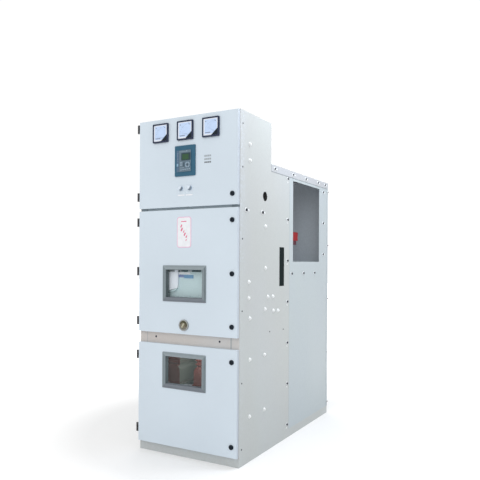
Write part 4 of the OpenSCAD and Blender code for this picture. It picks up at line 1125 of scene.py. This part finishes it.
def truck_front():
    """Tilted two-tone label, a row of plates in three tones above it, bare controls below the window, and
    a painted shadow under the plug cover.
    """
    violet, blue, dark, green, red, margin, edge_shadow = (Shape() for _ in range(7))
    edge_shadow.prism((0, PLUG_FRONT, 0), FORWARD, COVER_EDGE_SHADOW, COVER_EDGE_SHADOW_T)
    for shape, (x, z), size in ((violet, VIOLET_PLACE, VIOLET_SIZE), (blue, BLUE_PLACE, BLUE_SIZE)):
        shape.plate((x, PANEL_FRONT, z), size, 0.001, LABEL_T, LABEL_TILT)
    margin.plate((MARGIN_PLACE[0], PANEL_FRONT, MARGIN_PLACE[1]), MARGIN_SIZE, 0.001, 0.0010)
    top_row = [Shape() for _ in TOP_ROW_TONES]
    for left, right, tone in TOP_ROW_PLATES:
        front = PLUG_FRONT if right < PLUG_RIGHT else PANEL_FRONT
        top_row[tone].plate(((left + right) / 2, front, TOP_ROW_Z), (right - left, TOP_ROW_H), 0.002, 0.003)
    for x in INDICATOR_X:
        dark.plate((x, PANEL_FRONT, CONTROL_Z), INDICATOR_SIZE, 0.003, 0.004)
        for side in (-1, 1):
            rivet(dark, (x + side * INDICATOR_SCREW_OUT, PANEL_FRONT, CONTROL_Z), FORWARD, 0.002, 0.0012)
    green.disc((OFF_BUTTON_X, PANEL_FRONT, CONTROL_Z), FORWARD, *CONTROL_BUTTON)
    red.disc((ON_BUTTON_X, PANEL_FRONT, CONTROL_Z), FORWARD, *CONTROL_BUTTON)
    violet.piece("truck_label_end", PLATE_VIOLET, "truck", bevel=0.0003)
    blue.piece("truck_label", PLATE_BLUE, "truck", bevel=0.0003)
    margin.piece("truck_label_margin", PLATE_WHITE, "truck", bevel=0.0003)
    for shape, (word, mat) in zip(top_row, TOP_ROW_TONES.items()):
        shape.piece(f"truck_top_row_{word}", mat, "truck", bevel=0.0006)
    dark.piece("truck_indicators", RELAY_DARK, "truck", bevel=0.0006)
    edge_shadow.piece("cover_edge_shadow", RELAY_DARK, "truck", smooth=False)
    green.piece("truck_off_button", LAMP_GREEN, "truck")
    red.piece("truck_on_button", LAMP_RED, "truck")


dress_faces("truck_panel", COVER_WHITE, on_plug_cover)
truck_front()

# Seals inside the doors

def door_seals():
    width, height, inset, skin = 0.010, 0.006, 0.022, 0.002
    for door, body in DOORS.items():
        low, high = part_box(door)
        shape = Shape()
        y0, y1 = low.y + skin, low.y + skin + height
        x0, x1, z0, z1 = low.x + inset, high.x - inset, low.z + inset, high.z - inset
        shape.box((x0, y0, z0), (x0 + width, y1, z1))
        shape.box((x1 - width, y0, z0), (x1, y1, z1))
        shape.box((x0 + width, y0, z0), (x1 - width, y1, z0 + width))
        shape.box((x0 + width, y0, z1 - width), (x1 - width, y1, z1))
        shape.piece(f"{body}_seal", GASKET_AND_SLOT_SHADE, body, bevel=0.0015)


door_seals()

# Floor, light and camera

FLOOR_HALF = 30.0
FLOOR_GREY = (0.84, 0.84, 0.84, 1)
GLOW_REACH = (1.2, 3.2)
GLOW_LEAST = 0.15
AMBIENT = 0.78
BACKDROP = 1.05
WHITE = (1.0, 1.0, 1.0)
COOL = (0.86, 0.92, 1.0)


def make_floor():
    """Pale floor that keeps the shadow near the cabinet and is white further out."""
    mesh = bpy.data.meshes.new("studio_floor")
    corners = [(x * FLOOR_HALF, y * FLOOR_HALF, 0) for x, y in ((-1, -1), (1, -1), (1, 1), (-1, 1))]
    mesh.from_pydata(corners, [], [(0, 1, 2, 3)])
    floor = bpy.data.objects.new("studio_floor", mesh)
    bpy.context.scene.collection.objects.link(floor)
    look = Look("studio_floor", FLOOR_GREY, 1.0)
    look.set("Specular IOR Level", 0.0)
    look.set("Emission Color", (*WHITE, 1))
    length = look.node("ShaderNodeVectorMath", operation="LENGTH")
    look.link(look.place, length.inputs[0])
    glow = look.ranged(length.outputs["Value"], GLOW_REACH, (GLOW_LEAST, 1.0))
    gain = look.maths("MULTIPLY", seen_directly(look.tree), glow)
    look.link(gain, look.bsdf.inputs["Emission Strength"])
    mesh.materials.append(look.mat)


def make_world():
    """White world, brighter for what is seen directly than for what it lights."""
    world = bpy.data.worlds.new("studio")
    bpy.context.scene.world = world
    world.use_nodes = True
    tree = world.node_tree
    background = tree.nodes["Background"]
    strength = ranged(tree, seen_directly(tree), (0.0, 1.0), (AMBIENT, BACKDROP))
    tree.links.new(strength, background.inputs["Strength"])
    background.inputs["Color"].default_value = (*WHITE, 1)


def area_light(name, place, target, size, power, length=None, colour=WHITE):
    """Lamp that looks from a place to a target, square unless it has a length of its own."""
    data = bpy.data.lights.new(name, "AREA")
    data.energy = power
    data.color = colour
    data.size = size
    if length:
        data.shape = "RECTANGLE"
        data.size_y = length
    lamp = bpy.data.objects.new(name, data)
    lamp.location = place
    lamp.rotation_euler = (Vector(target) - Vector(place)).to_track_quat("-Z", "Y").to_euler()
    lamp.visible_camera = False
    bpy.context.scene.collection.objects.link(lamp)


# The camera was fitted to the straight edges of the cabinet in the photograph
CAMERA_PLACE = (2.171, -3.924, 1.319)
CAMERA_TURN = math.radians(29.32)
CAMERA_ROLL = math.radians(0.29)
FOCAL_LENGTH_IN_PIXELS = 566.0
PHOTO_SIDE = 480
HORIZON_ROW = 262
SENSOR = 36.0


def make_camera():
    data = bpy.data.cameras.new("camera")
    data.sensor_width = SENSOR
    data.lens = FOCAL_LENGTH_IN_PIXELS / PHOTO_SIDE * SENSOR
    data.shift_y = (HORIZON_ROW - PHOTO_SIDE / 2) / PHOTO_SIDE
    camera = bpy.data.objects.new("camera", data)
    turn = Matrix.Rotation(CAMERA_TURN, 4, "Z") @ Matrix.Rotation(math.pi / 2, 4, "X")
    camera.matrix_world = Matrix.Translation(CAMERA_PLACE) @ turn @ Matrix.Rotation(CAMERA_ROLL, 4, "Z")
    bpy.context.scene.collection.objects.link(camera)
    bpy.context.scene.camera = camera


make_floor()
make_world()
area_light("key", (0.6, -5.0, 4.0), (0, -0.4, 1.2), size=3.5, power=62)
area_light("side", (1.2, 0.0, 3.2), (0.4, 0.0, 2.1), size=0.5, power=34, length=2.0, colour=COOL)
area_light("cable_compartment", (0.05, -0.68, 0.75), (-0.15, -0.40, 0.58), size=0.15, power=1.0)
area_light("rear", (-3.0, 4.5, 3.5), (0, 0.4, 1.2), size=3.0, power=50)
make_camera()
bpy.context.scene.view_settings.view_transform = "Standard"

bpy.context.view_layer.update()
